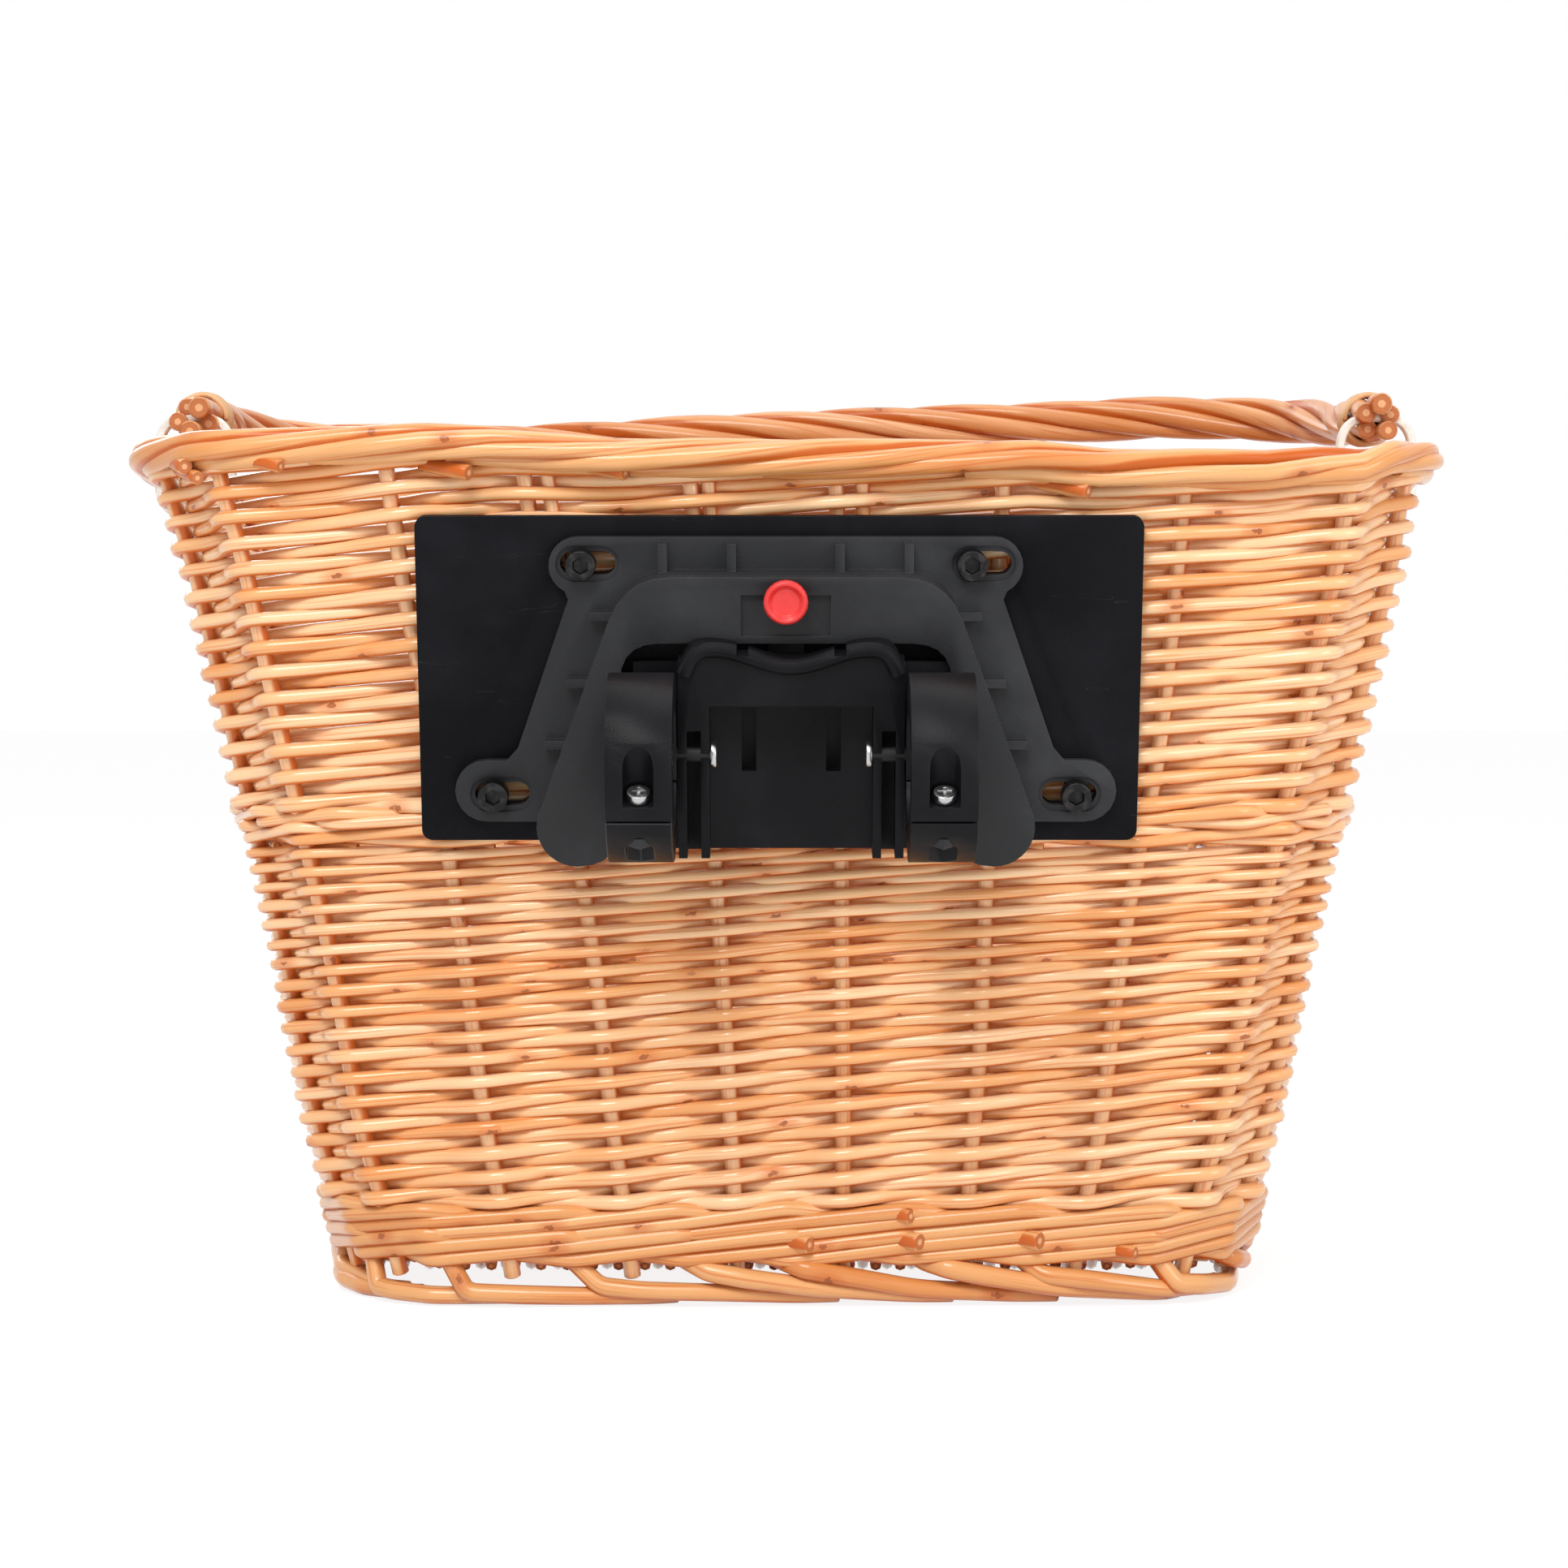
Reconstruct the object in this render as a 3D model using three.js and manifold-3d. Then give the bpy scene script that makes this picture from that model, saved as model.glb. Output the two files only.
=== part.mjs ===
// A willow bicycle basket with a folding roped handle and a quick-release handlebar bracket.
// Millimetres, +Z up. The basket is laid out round its own middle, with its foot on z = 0 and the
// bracket on the -Y wall, and the finished group is centred on its box at the end.
import * as THREE from "three";
import { mergeVertices } from "three/addons/utils/BufferGeometryUtils.js";
import Module from "manifold-3d";

const wasm = await Module();
wasm.setup();

// Fits
const FIT = 0.3; // between pieces that lie against each other
const SCREW_FIT = 0.3; // round a shank in its hole

// Basket wall: outer half sizes and corner radius at the foot and at the top
const FOOT_HALF_X = 141;
const FOOT_HALF_Y = 83;
const FOOT_CORNER = 46;
const TOP_HALF_X = 185;
const TOP_HALF_Y = 132;
const TOP_CORNER = 48;
const WALL_THICKNESS = 12;
const WASHER_SEAT = 9; // inset of the seats that the bolts' washers press into the wall's rods

// Basket wall: heights of the bands
const FOOT_RING_HEIGHT = 8;
const FOOT_HEIGHT = 13;
const BOTTOM_WALE_HEIGHT = 17;
const LOWER_WEAVE_HEIGHT = 108;
const MIDDLE_WALE_HEIGHT = 9;
const UPPER_WEAVE_HEIGHT = 91;

// Weave: in one row the rods stand out at every stake, in the next they pass behind it, and half way
// between stakes all of them lie in the middle of the wall, drawn at the rows that stand out
const LOWER_ROWS = 34;
const UPPER_ROWS = 26;
const LOWER_TAPER = 0.66; // last row's pitch as a share of the first's
const UPPER_TAPER = 0.9;
const ROD_THICKNESS = 3.8;
const WEAVE_RELIEF = 6.5; // how far a row's face lies behind its neighbours' at a stake
const WEAVE_END_INSET = 1.5; // at a stake, where a band meets the next

// Stakes: shares of a long side's and a short side's half, from its middle, and of a corner's turn, at
// which they stand at the foot and at the top of the wall
const LONG_STAKES = {
  foot: [-0.86, -0.476, -0.15, 0.176, 0.549, 0.886], top: [-0.8, -0.528, -0.196, 0.105, 0.442, 0.813],
};
const SHORT_STAKES = { foot: [-0.677, -0.219, 0.219, 0.677], top: [-0.7, -0.23, 0.23, 0.7] };
const CORNER_STAKES = { foot: [0.36, 0.72], top: [0.33, 0.76] };

// Foot and base
const FOOT_RING_WIDTH = 17;
const FOOT_EDGE_ROUND = 2.3;
const FOOT_BULGE = 0.8; // how far the foot ring stands out past the wall
const STAKE_WIDTH = 6;
const BASE_THICKNESS = 8;

// Rim
const RIM_RADIUS = 7.2;
const RIM_OVERHANG = 0.8; // rim centre line outside the wall's outer face

// Handle
const HANDLE_RADIUS = 7.3;
const HANDLE_REACH = 132; // from the pivot line to the middle of the cross bar
const HANDLE_CORNER = 50;
const HANDLE_ABOVE_RIM = 14.1; // pivot line above the rim's top at the side
const HANDLE_STEPS = 50;
const KNUCKLE_RADIUS = 8;
const BINDING_START = 12;
const BINDING_LENGTH = 12;
const BINDING_THICKNESS = 0.9;
// Rise of the hoop above its pivots, at the ends, along an arm, round a corner and along the bar
const HANDLE_RISE = [0, 2, 2, 0.9, 0, 1.2, 5.2, 7.6, 10, 8.5, 4.5, 2, 0];

// Hinge loops
const LOOP_WIRE = 1.6;
const LOOP_HALF_WIDTH = 11.5;
const LOOP_CORNER = 4.5;
const LOOP_FIT = 0.6; // round the wire in the handle's eye and in the wall

// Mounting plate, screwed to the wall
const BRACKET_BELOW_WALL_TOP = 54;
const PLATE_WIDTH = 202;
const PLATE_HEIGHT = 92.5;
const PLATE_THICKNESS = 3;
const PLATE_CORNER = 3;
const PLATE_SIDE_OFFSET = -1.8;
const PLATE_RISE = 1.1;

// Adapter: flange with four ears
const FLANGE_THICKNESS = 3;
const FLANGE_TOP = 42.1;
const UPPER_EAR_X = 57.6;
const UPPER_EAR_RADIUS = 8;
const LOWER_EAR_X = 84;
const LOWER_EAR_U = -30.1;
const LOWER_EAR_RADIUS = 8.8;
const WAIST_TOP_X = 60.3;
const WAIST_BOTTOM_X = 75;
const EAR_NECK = 1.5;
const WAIST_STEP = 3;
const WAIST_FLARE = 3.5;
const UPPER_SLOT_X = 54.8;
const UPPER_SLOT_RISE = 0.6; // above its ear's middle
const LOWER_SLOT_X = 79.7;
const LOWER_SLOT_DROP = 0.9; // below its ear's middle
const SLOT_LENGTH = 15.4;
const SLOT_WIDTH = 6.7;
const SLOT_RECESS_LENGTH = 18;
const SLOT_RECESS_WIDTH = 10.2;
const SLOT_RECESS_DEPTH = 1;

// Adapter: raised housing, shaped like a horseshoe with its mouth down
const HOUSING_DEPTH = 13;
const HOUSING_TOP = 33.2;
const HOUSING_SHOULDER_X = 48.4;
const HOUSING_SHOULDER_U = 21.2;
const HOUSING_CROWN_X = 31;
const HOUSING_CROWN_PULL = 4.3;
const LOBE_X = 58;
const LOBE_U = -37.3;
const LOBE_RADIUS = 11.2;
const MOUTH_HALF = 45.6;
const MOUTH_TOP = 14.9;
const MOUTH_CORNER = 11;
const LIP_THICKNESS = 3;
const RIB_WIDTH = 2.4;
const RIB_DEPTH = 3.6;
const RIB_LENGTH = 8;
const UPPER_RIB_X = [15, 34];
const SIDE_RIB_U = [20.5, 1.5, -16];

// Release button and latch
const BUTTON_RADIUS = 6.1;
const BUTTON_CAP = 2.4; // thickness of the cap, which stays in front of the housing when it is pressed
const BUTTON_STEM_RADIUS = 3.8;
const BUTTON_U = 27.4;
const BUTTON_TRAVEL = 4;
const BUTTON_RIM = 1.2;
const BUTTON_CHAMFER = 0.6;
const BUTTON_FLANGE = 0.8; // past the stem
const BUTTON_FLANGE_HEIGHT = 1.2;
const BUTTON_FLANGE_ROOM = 2.5;
const BUTTON_DISH = 1.3;
const BUTTON_DISH_MIDDLE = 1.7;
const BUTTON_SCOOP_HALF = 12.4;
const BUTTON_SCOOP_DEPTH = 1.6;
const BUTTON_SCOOP_START = 2; // above the mouth
const BUTTON_SCOOP_END = 1; // above the button's middle
const LATCH_HALF = 5;
const LATCH_THICKNESS = 1.1;
const LATCH_ROOT_U = -25;
const LATCH_ROOT_HALF = 4;
const LATCH_TOOTH_U = 4.6;
const LATCH_TOOTH_HALF = 1.5;
const LATCH_TOOTH_DEPTH = 2.2;
const LATCH_SCREW_X = 2.6;
const LATCH_SCREW_COVER = 0.8; // of the leaf over the screw's tip

// Fasteners
const PLATE_BOLT = { shank: 2.4, head: 4.25, headHeight: 5, socket: 2.3, socketDepth: 2.6 };
const PLATE_WASHER = { radius: 9, height: 1.5 };
const PLATE_NUT = { radius: 4.6, height: 4.7 };
const PLATE_BOLT_SHIFTS = [-1.8, -3.4, -2.3, 1.7]; // where each bolt was tightened along its slot
const BOLT_TAIL = 0.7; // shank past its nut
const LATCH_SCREW = { shank: 1.2, head: 2.1, headHeight: 1.2 };
const CLAMP_SCREW = { shank: 2, head: 3.1, headHeight: 2.4 };
const CLAMP_SCREW_CROSS = { half: 1.8, width: 0.8, depth: 1.2 };
const CLAMP_NUT = { radius: 4, height: 3.2 };
const ARM_SCREW = { shank: 2, head: 3.6, headHeight: 1.6 };

// Handlebar bracket: tongue, hood and cheeks
const BRACKET_SIDE_OFFSET = 1.5;
const TONGUE_THICKNESS = 4;
const TONGUE_HALF = 48.3;
const TONGUE_TAB_HALF = 43.6;
const TONGUE_TOP = 9.2;
const TONGUE_SHOULDER = -1;
const TONGUE_SHOULDER_SLOPE = 4;
const TONGUE_BOTTOM = -44;
const TONGUE_SLOT_X = 11.7;
const TONGUE_SLOT_WIDTH = 4;
const TONGUE_SLOT_TOP = -3.9;
const TONGUE_SLOT_BOTTOM = -21.9;
const CHEEK_OUTER = 31;
const CHEEK_INNER = 22.4;
const CHEEK_DEPTH = 11;
const CHEEK_WALL = 2.4;
const CHEEK_SLIT_TOP = -8;
const CHEEK_SLIT_FLOOR = 1;
const HOOD_BOTTOM = -1;
const HOOD_TOP = 11.5;
const HOOD_WALL = 3;
const LIP_MIDDLE_U = 14.3;
const LIP_WAVE = 2.4;
const LIP_WAVE_LENGTH = 45;
const LIP_BEAD = 2.3;
const LIP_BEAD_INSET = 0.8; // share of its radius that the bead lies inside the lip's edge
const LIP_FALL_LENGTH = 5;
const LIP_FALL = 0.22;
const LIP_NOTCH_X = 13.3;
const LIP_NOTCH_WIDTH = 3.2;
const LIP_NOTCH_DEPTH = 1.6;

// Handlebar clamps
const BAR_RADIUS = 15.9;
const BAR_DISTANCE = 46.5; // bar axis in front of the wall
const BAR_HEIGHT = -13.5;
const CLAMP_RADIUS = 25.5;
const ARM_WIDTH = 17.6;
const ARM_CHEEK_GAP = 0.4;
const PARTING_ANGLE = -21; // degrees from straight out, at the clamp's front
const HEEL_ANGLE = 207; // where the cap meets the arm behind the bar
const PARTING_GAP = 0.8; // left open so that the screw can pinch the bar
const CLAMP_SCREW_REACH = 21.3; // screw axis from the bar's axis
const CLAMP_SEAT = 4.4; // screw head's seat above the parting face
const CLAMP_POCKET = 4.1;
const CLAMP_NUT_DEPTH = 5.6; // nut's inner face below the parting face
const ARM_SCREW_DISTANCE = 25.2;
const ARM_SCREW_HEIGHT = -15;
const ARM_SCREW_BITE = 12;

// Smoothness
const WALL_STEPS = { corner: 8, side: 6 };
const LOOP_STEPS = { corner: 4, side: 1 };
const ROUND = 20;

// Worked out from the sizes above
const BOTTOM_WALE_TOP = FOOT_HEIGHT + BOTTOM_WALE_HEIGHT;
const LOWER_WEAVE_TOP = BOTTOM_WALE_TOP + LOWER_WEAVE_HEIGHT;
const MIDDLE_WALE_TOP = LOWER_WEAVE_TOP + MIDDLE_WALE_HEIGHT;
const WALL_TOP = MIDDLE_WALE_TOP + UPPER_WEAVE_HEIGHT;
const WALL_HEIGHT = WALL_TOP - FOOT_HEIGHT;
const RIM_HALF_X = TOP_HALF_X + RIM_OVERHANG;
const RIM_HALF_Y = TOP_HALF_Y + RIM_OVERHANG;
const RIM_Z = WALL_TOP + FIT + RIM_RADIUS;
const PIVOT_Z = RIM_Z + RIM_RADIUS + HANDLE_ABOVE_RIM;
const LOOP_BOTTOM_Z = RIM_Z - RIM_RADIUS - FIT - LOOP_WIRE;
const WALL_LEAN = Math.atan2(TOP_HALF_Y - FOOT_HALF_Y, WALL_HEIGHT);
const BRACKET_Z = WALL_TOP - BRACKET_BELOW_WALL_TOP;
const UPPER_EAR_U = FLANGE_TOP - UPPER_EAR_RADIUS;

// Centres of the adapter's four slots, and the bolts in them
const slots = [
  [-UPPER_SLOT_X, UPPER_EAR_U + UPPER_SLOT_RISE], [UPPER_SLOT_X, UPPER_EAR_U + UPPER_SLOT_RISE],
  [-LOWER_SLOT_X, LOWER_EAR_U - LOWER_SLOT_DROP], [LOWER_SLOT_X, LOWER_EAR_U - LOWER_SLOT_DROP],
];
const plateBolts = slots.map(([x, u], i) => ({ x: x + PLATE_BOLT_SHIFTS[i], u }));

// Layers out from the wall, along the bracket's own normal
const PLATE_BACK = FIT;
const PLATE_FRONT = PLATE_BACK + PLATE_THICKNESS;
const FLANGE_BACK = PLATE_FRONT + FIT;
const FLANGE_FRONT = FLANGE_BACK + FLANGE_THICKNESS;
const HOUSING_FRONT = FLANGE_FRONT + HOUSING_DEPTH;
const LIP_BACK = HOUSING_FRONT - LIP_THICKNESS;
const TONGUE_FRONT = LIP_BACK - FIT;
const TONGUE_BACK = TONGUE_FRONT - TONGUE_THICKNESS;
const LATCH_FRONT = TONGUE_BACK - FIT;
const LATCH_BACK = LATCH_FRONT - LATCH_THICKNESS;
const CHEEK_FRONT = TONGUE_FRONT + CHEEK_DEPTH;
const ARM_INNER = CHEEK_OUTER + ARM_CHEEK_GAP;
const ARM_OUTER = ARM_INNER + ARM_WIDTH;

// Wall outline at a height: the half sizes and corner grow evenly from foot to top
function wallAt(z) {
  const share = (z - FOOT_HEIGHT) / WALL_HEIGHT;
  return {
    halfX: FOOT_HALF_X + (TOP_HALF_X - FOOT_HALF_X) * share,
    halfY: FOOT_HALF_Y + (TOP_HALF_Y - FOOT_HALF_Y) * share,
    corner: FOOT_CORNER + (TOP_CORNER - FOOT_CORNER) * share,
  };
}

// Points of a rounded rectangle, anticlockwise, the same number for any size
function roundedLoop({ halfX, halfY, corner }, inset = 0, steps = WALL_STEPS) {
  const a = halfX - corner;
  const b = halfY - corner;
  const radius = corner - inset;
  const centres = [[a, b], [-a, b], [-a, -b], [a, -b]];
  const points = [];
  centres.forEach(([cx, cy], quarter) => {
    for (let i = 0; i <= steps.corner; i++) {
      const angle = (quarter + i / steps.corner) * Math.PI / 2;
      points.push([cx + radius * Math.cos(angle), cy + radius * Math.sin(angle)]);
    }
    const [nextX, nextY] = centres[(quarter + 1) % 4];
    const [lastX, lastY] = points[points.length - 1];
    for (let i = 1; i < steps.side; i++) {
      const share = i / steps.side;
      points.push([lastX + (nextX - cx) * share, lastY + (nextY - cy) * share]);
    }
  });
  return points;
}

// Places of the stakes round the wall, anticlockwise from the near side's left end, where each straight
// side and each corner counts 1
function stakePlaces(level) {
  const bend = CORNER_STAKES[level];
  const places = [];
  for (let side = 0; side < 4; side++) {
    const straight = side % 2 ? SHORT_STAKES[level] : LONG_STAKES[level];
    const corner = side % 2 ? bend.map((share) => 1 - share).reverse() : bend;
    places.push(...straight.map((share) => 2 * side + (share + 1) / 2));
    places.push(...corner.map((share) => 2 * side + 1 + share));
  }
  return places;
}

const footPlaces = stakePlaces("foot");
const topPlaces = stakePlaces("top");
const STAKE_COUNT = footPlaces.length;

// Point and way along the wall at a stake number, which may lie between two stakes, and a height
function wallPoint(number, z, inset) {
  const share = (z - FOOT_HEIGHT) / WALL_HEIGHT;
  const placeOf = (stake) => {
    const i = stake % STAKE_COUNT;
    return footPlaces[i] + (topPlaces[i] - footPlaces[i]) * share + (stake - i) * 8 / STAKE_COUNT;
  };
  const before = Math.floor(number);
  const place = placeOf(before) + (placeOf(before + 1) - placeOf(before)) * (number - before);
  const side = Math.floor(place / 2) % 4;
  const run = place % 2;
  const { halfX, halfY, corner } = wallAt(z);
  const [along, out] = side % 2 ? [halfY, halfX] : [halfX, halfY];
  const bend = Math.max(run - 1, 0) * Math.PI / 2;
  const across = Math.min(2 * run - 1, 1) * (along - corner) + (corner - inset) * Math.sin(bend);
  const away = corner - out - (corner - inset) * Math.cos(bend);
  const turn = side * Math.PI / 2;
  const x = across * Math.cos(turn) - away * Math.sin(turn);
  const y = across * Math.sin(turn) + away * Math.cos(turn);
  return { x, y, turn: turn + bend };
}

function signedVolume(geometry) {
  const p = geometry.attributes.position;
  const index = geometry.index;
  const [a, b, c] = [new THREE.Vector3(), new THREE.Vector3(), new THREE.Vector3()];
  let volume = 0;
  for (let i = 0; i < index.count; i += 3) {
    a.fromBufferAttribute(p, index.getX(i));
    b.fromBufferAttribute(p, index.getX(i + 1));
    c.fromBufferAttribute(p, index.getX(i + 2));
    volume += a.dot(b.cross(c));
  }
  return volume;
}

// A closed geometry with shared vertices, whose faces point out
function closed(geometry) {
  const bare = geometry.clone();
  bare.deleteAttribute("normal");
  bare.deleteAttribute("uv");
  const merged = mergeVertices(bare, 1e-4);
  if (signedVolume(merged) < 0) {
    const flipped = Array.from(merged.index.array).reverse();
    merged.setIndex(flipped);
  }
  return merged;
}

// A profile of [inset, z] points carried round a rounded rectangle
function ring(profile, outlineAt, steps = WALL_STEPS) {
  const loops = profile.map(([inset, z]) =>
    roundedLoop(outlineAt(z), inset, steps).map(([x, y]) => [x, y, z]));
  const count = loops[0].length;
  const index = [];
  loops.forEach((loop, row) => {
    const next = (row + 1) % loops.length;
    for (let i = 0; i < count; i++) {
      const j = (i + 1) % count;
      const [a, b, c, d] = [row * count + i, row * count + j, next * count + j, next * count + i];
      index.push(a, b, c, a, c, d);
    }
  });
  const geometry = new THREE.BufferGeometry();
  geometry.setAttribute("position", new THREE.Float32BufferAttribute(loops.flat(2), 3));
  geometry.setIndex(index);
  return closed(geometry);
}

// Shares of a band's height at its ends and at the middle of each row, as the pitch changes evenly
function rowShares(rows, taper) {
  const run = (row) => row + (taper - 1) * row ** 2 / (2 * rows);
  const middles = Array.from({ length: rows }, (_, row) => run(row + 0.5) / run(rows));
  return [0, ...middles, 1];
}

// Triangles between two columns of points up the wall, joined in order of their heights; where both have
// a point at one height, the column with fewer points goes on first
function zip(left, right) {
  const faces = [];
  let [i, j] = [0, 0];
  while (i < left.length - 1 || j < right.length - 1) {
    const leftNext = i < left.length - 1 ? left[i + 1].share : Infinity;
    const rightNext = j < right.length - 1 ? right[j + 1].share : Infinity;
    const leftFirst = leftNext === rightNext ? left.length < right.length : leftNext < rightNext;
    if (leftFirst) {
      faces.push([left[i], right[j], left[i + 1]]);
      i += 1;
    } else {
      faces.push([left[i], right[j], right[j + 1]]);
      j += 1;
    }
  }
  return faces;
}

// A woven band: a sheet that goes out and in from row to row at each stake and is plain half way between
function wovenBand(z0, z1, rows, taper) {
  const middles = rowShares(rows, taper);
  const plain = middles.filter((_, i) => i === 0 || i % 2 || i === middles.length - 1);
  const vertices = [];
  const column = (number, shares, insetOf) => shares.map((share, i) => {
    const z = z0 + (z1 - z0) * share;
    const [outer, inner] = insetOf(i).map((inset) => {
      const { x, y } = wallPoint(number, z, inset);
      vertices.push(x, y, z);
      return vertices.length / 3 - 1;
    });
    return { share, outer, inner };
  });
  const wovenInsets = (i) => {
    if (i === 0 || i === middles.length - 1) return [WEAVE_END_INSET, WALL_THICKNESS - WEAVE_END_INSET];
    return i % 2 ? [0, WALL_THICKNESS - WEAVE_RELIEF] : [WEAVE_RELIEF, WALL_THICKNESS];
  };
  const plainInsets = [(WALL_THICKNESS - ROD_THICKNESS) / 2, (WALL_THICKNESS + ROD_THICKNESS) / 2];
  const columns = [];
  for (let stake = 0; stake < STAKE_COUNT; stake++) {
    columns.push(column(stake, middles, wovenInsets));
    columns.push(column(stake + 0.5, plain, () => plainInsets));
  }
  const index = [];
  columns.forEach((left, i) => {
    const right = columns[(i + 1) % columns.length];
    for (const [a, b, c] of zip(left, right)) {
      index.push(a.outer, b.outer, c.outer, c.inner, b.inner, a.inner);
    }
    const [l0, r0, l1, r1] = [left[0], right[0], left[left.length - 1], right[right.length - 1]];
    index.push(l0.outer, l0.inner, r0.outer, r0.outer, l0.inner, r0.inner);
    index.push(l1.outer, r1.outer, l1.inner, r1.outer, r1.inner, l1.inner);
  });
  const geometry = new THREE.BufferGeometry();
  geometry.setAttribute("position", new THREE.Float32BufferAttribute(vertices, 3));
  geometry.setIndex(index);
  return closed(geometry);
}

// A ring with a round section
function roundRing(outline, radius, z, sides, steps) {
  const profile = [];
  for (let i = 0; i < sides; i++) {
    const angle = (i / sides) * 2 * Math.PI;
    profile.push([radius * Math.cos(angle), z + radius * Math.sin(angle)]);
  }
  return ring(profile, () => outline, steps);
}

function toSolid(geometry) {
  const merged = closed(geometry);
  const vertProperties = new Float32Array(merged.attributes.position.array);
  const triVerts = new Uint32Array(merged.index.array);
  return new wasm.Manifold(new wasm.Mesh({ numProp: 3, vertProperties, triVerts }));
}

function toGeometry(solid) {
  const mesh = solid.getMesh();
  const geometry = new THREE.BufferGeometry();
  geometry.setAttribute("position", new THREE.BufferAttribute(mesh.vertProperties, 3));
  geometry.setIndex(new THREE.BufferAttribute(mesh.triVerts, 1));
  return geometry;
}

function joined(first, ...others) {
  return toGeometry(others.reduce((sum, other) => sum.add(toSolid(other)), toSolid(first)));
}

function cut(body, ...tools) {
  return toGeometry(tools.reduce((rest, tool) => rest.subtract(toSolid(tool)), toSolid(body)));
}

function mirroredX(geometry) {
  return closed(geometry.clone().scale(-1, 1, 1));
}

function box(x0, x1, y0, y1, z0, z1) {
  const geometry = new THREE.BoxGeometry(x1 - x0, y1 - y0, z1 - z0);
  return geometry.translate((x0 + x1) / 2, (y0 + y1) / 2, (z0 + z1) / 2);
}

// In the bracket's frame x runs along the wall, u up it and n straight out of it, which is -Y
function slab(shape, n0, n1) {
  const options = { depth: n1 - n0, bevelEnabled: false, curveSegments: 5 };
  const geometry = new THREE.ExtrudeGeometry(shape, options);
  return geometry.translate(0, 0, n0).rotateX(Math.PI / 2);
}

function block(x0, x1, n0, n1, u0, u1) {
  return box(x0, x1, -n1, -n0, u0, u1);
}

function rod(x, u, radius, n0, n1, sides = ROUND) {
  const geometry = new THREE.CylinderGeometry(radius, radius, n1 - n0, sides);
  return geometry.translate(x, -(n0 + n1) / 2, u);
}

// A shape drawn in n and u, carried along x
function sideSlab(shape, x0, x1) {
  const options = { depth: x1 - x0, bevelEnabled: false, curveSegments: 14 };
  const geometry = new THREE.ExtrudeGeometry(shape, options);
  const along = new THREE.Matrix4().makeBasis(
    new THREE.Vector3(0, -1, 0), new THREE.Vector3(0, 0, 1), new THREE.Vector3(-1, 0, 0));
  return geometry.applyMatrix4(along).translate(x1, 0, 0);
}

function crossRod(n, u, radius, x0, x1, sides = ROUND) {
  const geometry = new THREE.CylinderGeometry(radius, radius, x1 - x0, sides).rotateZ(Math.PI / 2);
  return geometry.translate((x0 + x1) / 2, -n, u);
}

// A turned piece: [radius, height] points from the axis and back to it, turned round +Y
function turned(points, sides = ROUND) {
  return new THREE.LatheGeometry(points.map(([r, h]) => new THREE.Vector2(r, h)), sides);
}

function slotShape(x, u, length, width) {
  const half = (length - width) / 2;
  const radius = width / 2;
  const shape = new THREE.Shape();
  shape.absarc(x + half, u, radius, -Math.PI / 2, Math.PI / 2, false);
  shape.absarc(x - half, u, radius, Math.PI / 2, 1.5 * Math.PI, false);
  shape.closePath();
  return shape;
}

function polygonShape(sides, radius) {
  const shape = new THREE.Shape();
  for (let i = 0; i < sides; i++) {
    const angle = (i / sides) * 2 * Math.PI;
    const point = [radius * Math.cos(angle), radius * Math.sin(angle)];
    if (i === 0) shape.moveTo(...point);
    else shape.lineTo(...point);
  }
  shape.closePath();
  return shape;
}

// Materials
const willow = { color: 0xd99a5e, roughness: 0.45, metalness: 0 };
const wale = { color: 0xc98a50, roughness: 0.45, metalness: 0 };
const roped = { color: 0xb9784a, roughness: 0.5, metalness: 0 };
const raffia = { color: 0xb07040, roughness: 0.7, metalness: 0 };
const whitePlastic = { color: 0xe8e6e0, roughness: 0.5, metalness: 0 };
const sheetPlastic = { color: 0x17171a, roughness: 0.7, metalness: 0 };
const mouldedPlastic = { color: 0x242428, roughness: 0.6, metalness: 0 };
const redPlastic = { color: 0xd8262a, roughness: 0.4, metalness: 0 };
const blackSteel = { color: 0x141416, roughness: 0.4, metalness: 0.8 };
const zincSteel = { color: 0xb8bcc0, roughness: 0.3, metalness: 1 };

const basket = new THREE.Group();
const bracketFrame = new THREE.Group();
bracketFrame.position.set(0, -wallAt(BRACKET_Z).halfY, BRACKET_Z);
bracketFrame.rotation.x = WALL_LEAN;
const barBracket = new THREE.Group();
barBracket.position.x = BRACKET_SIDE_OFFSET;
bracketFrame.add(barBracket);
basket.add(bracketFrame);

function add(parent, name, geometry, material) {
  const mesh = new THREE.Mesh(closed(geometry), new THREE.MeshStandardMaterial(material));
  mesh.name = name;
  parent.add(mesh);
  return mesh;
}

// Where a bolt passes through the wall and its washer presses into it, in the basket's own frame
function boltRoom({ x, u }) {
  const inside = -WALL_THICKNESS * 2;
  const bore = rod(x, u, PLATE_BOLT.shank + SCREW_FIT, inside, PLATE_FRONT);
  const seat = rod(x, u, PLATE_WASHER.radius + FIT, inside, -WASHER_SEAT * Math.cos(WALL_LEAN), 16);
  bracketFrame.updateMatrix();
  return [bore, seat].map((tool) => tool.applyMatrix4(bracketFrame.matrix));
}

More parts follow.
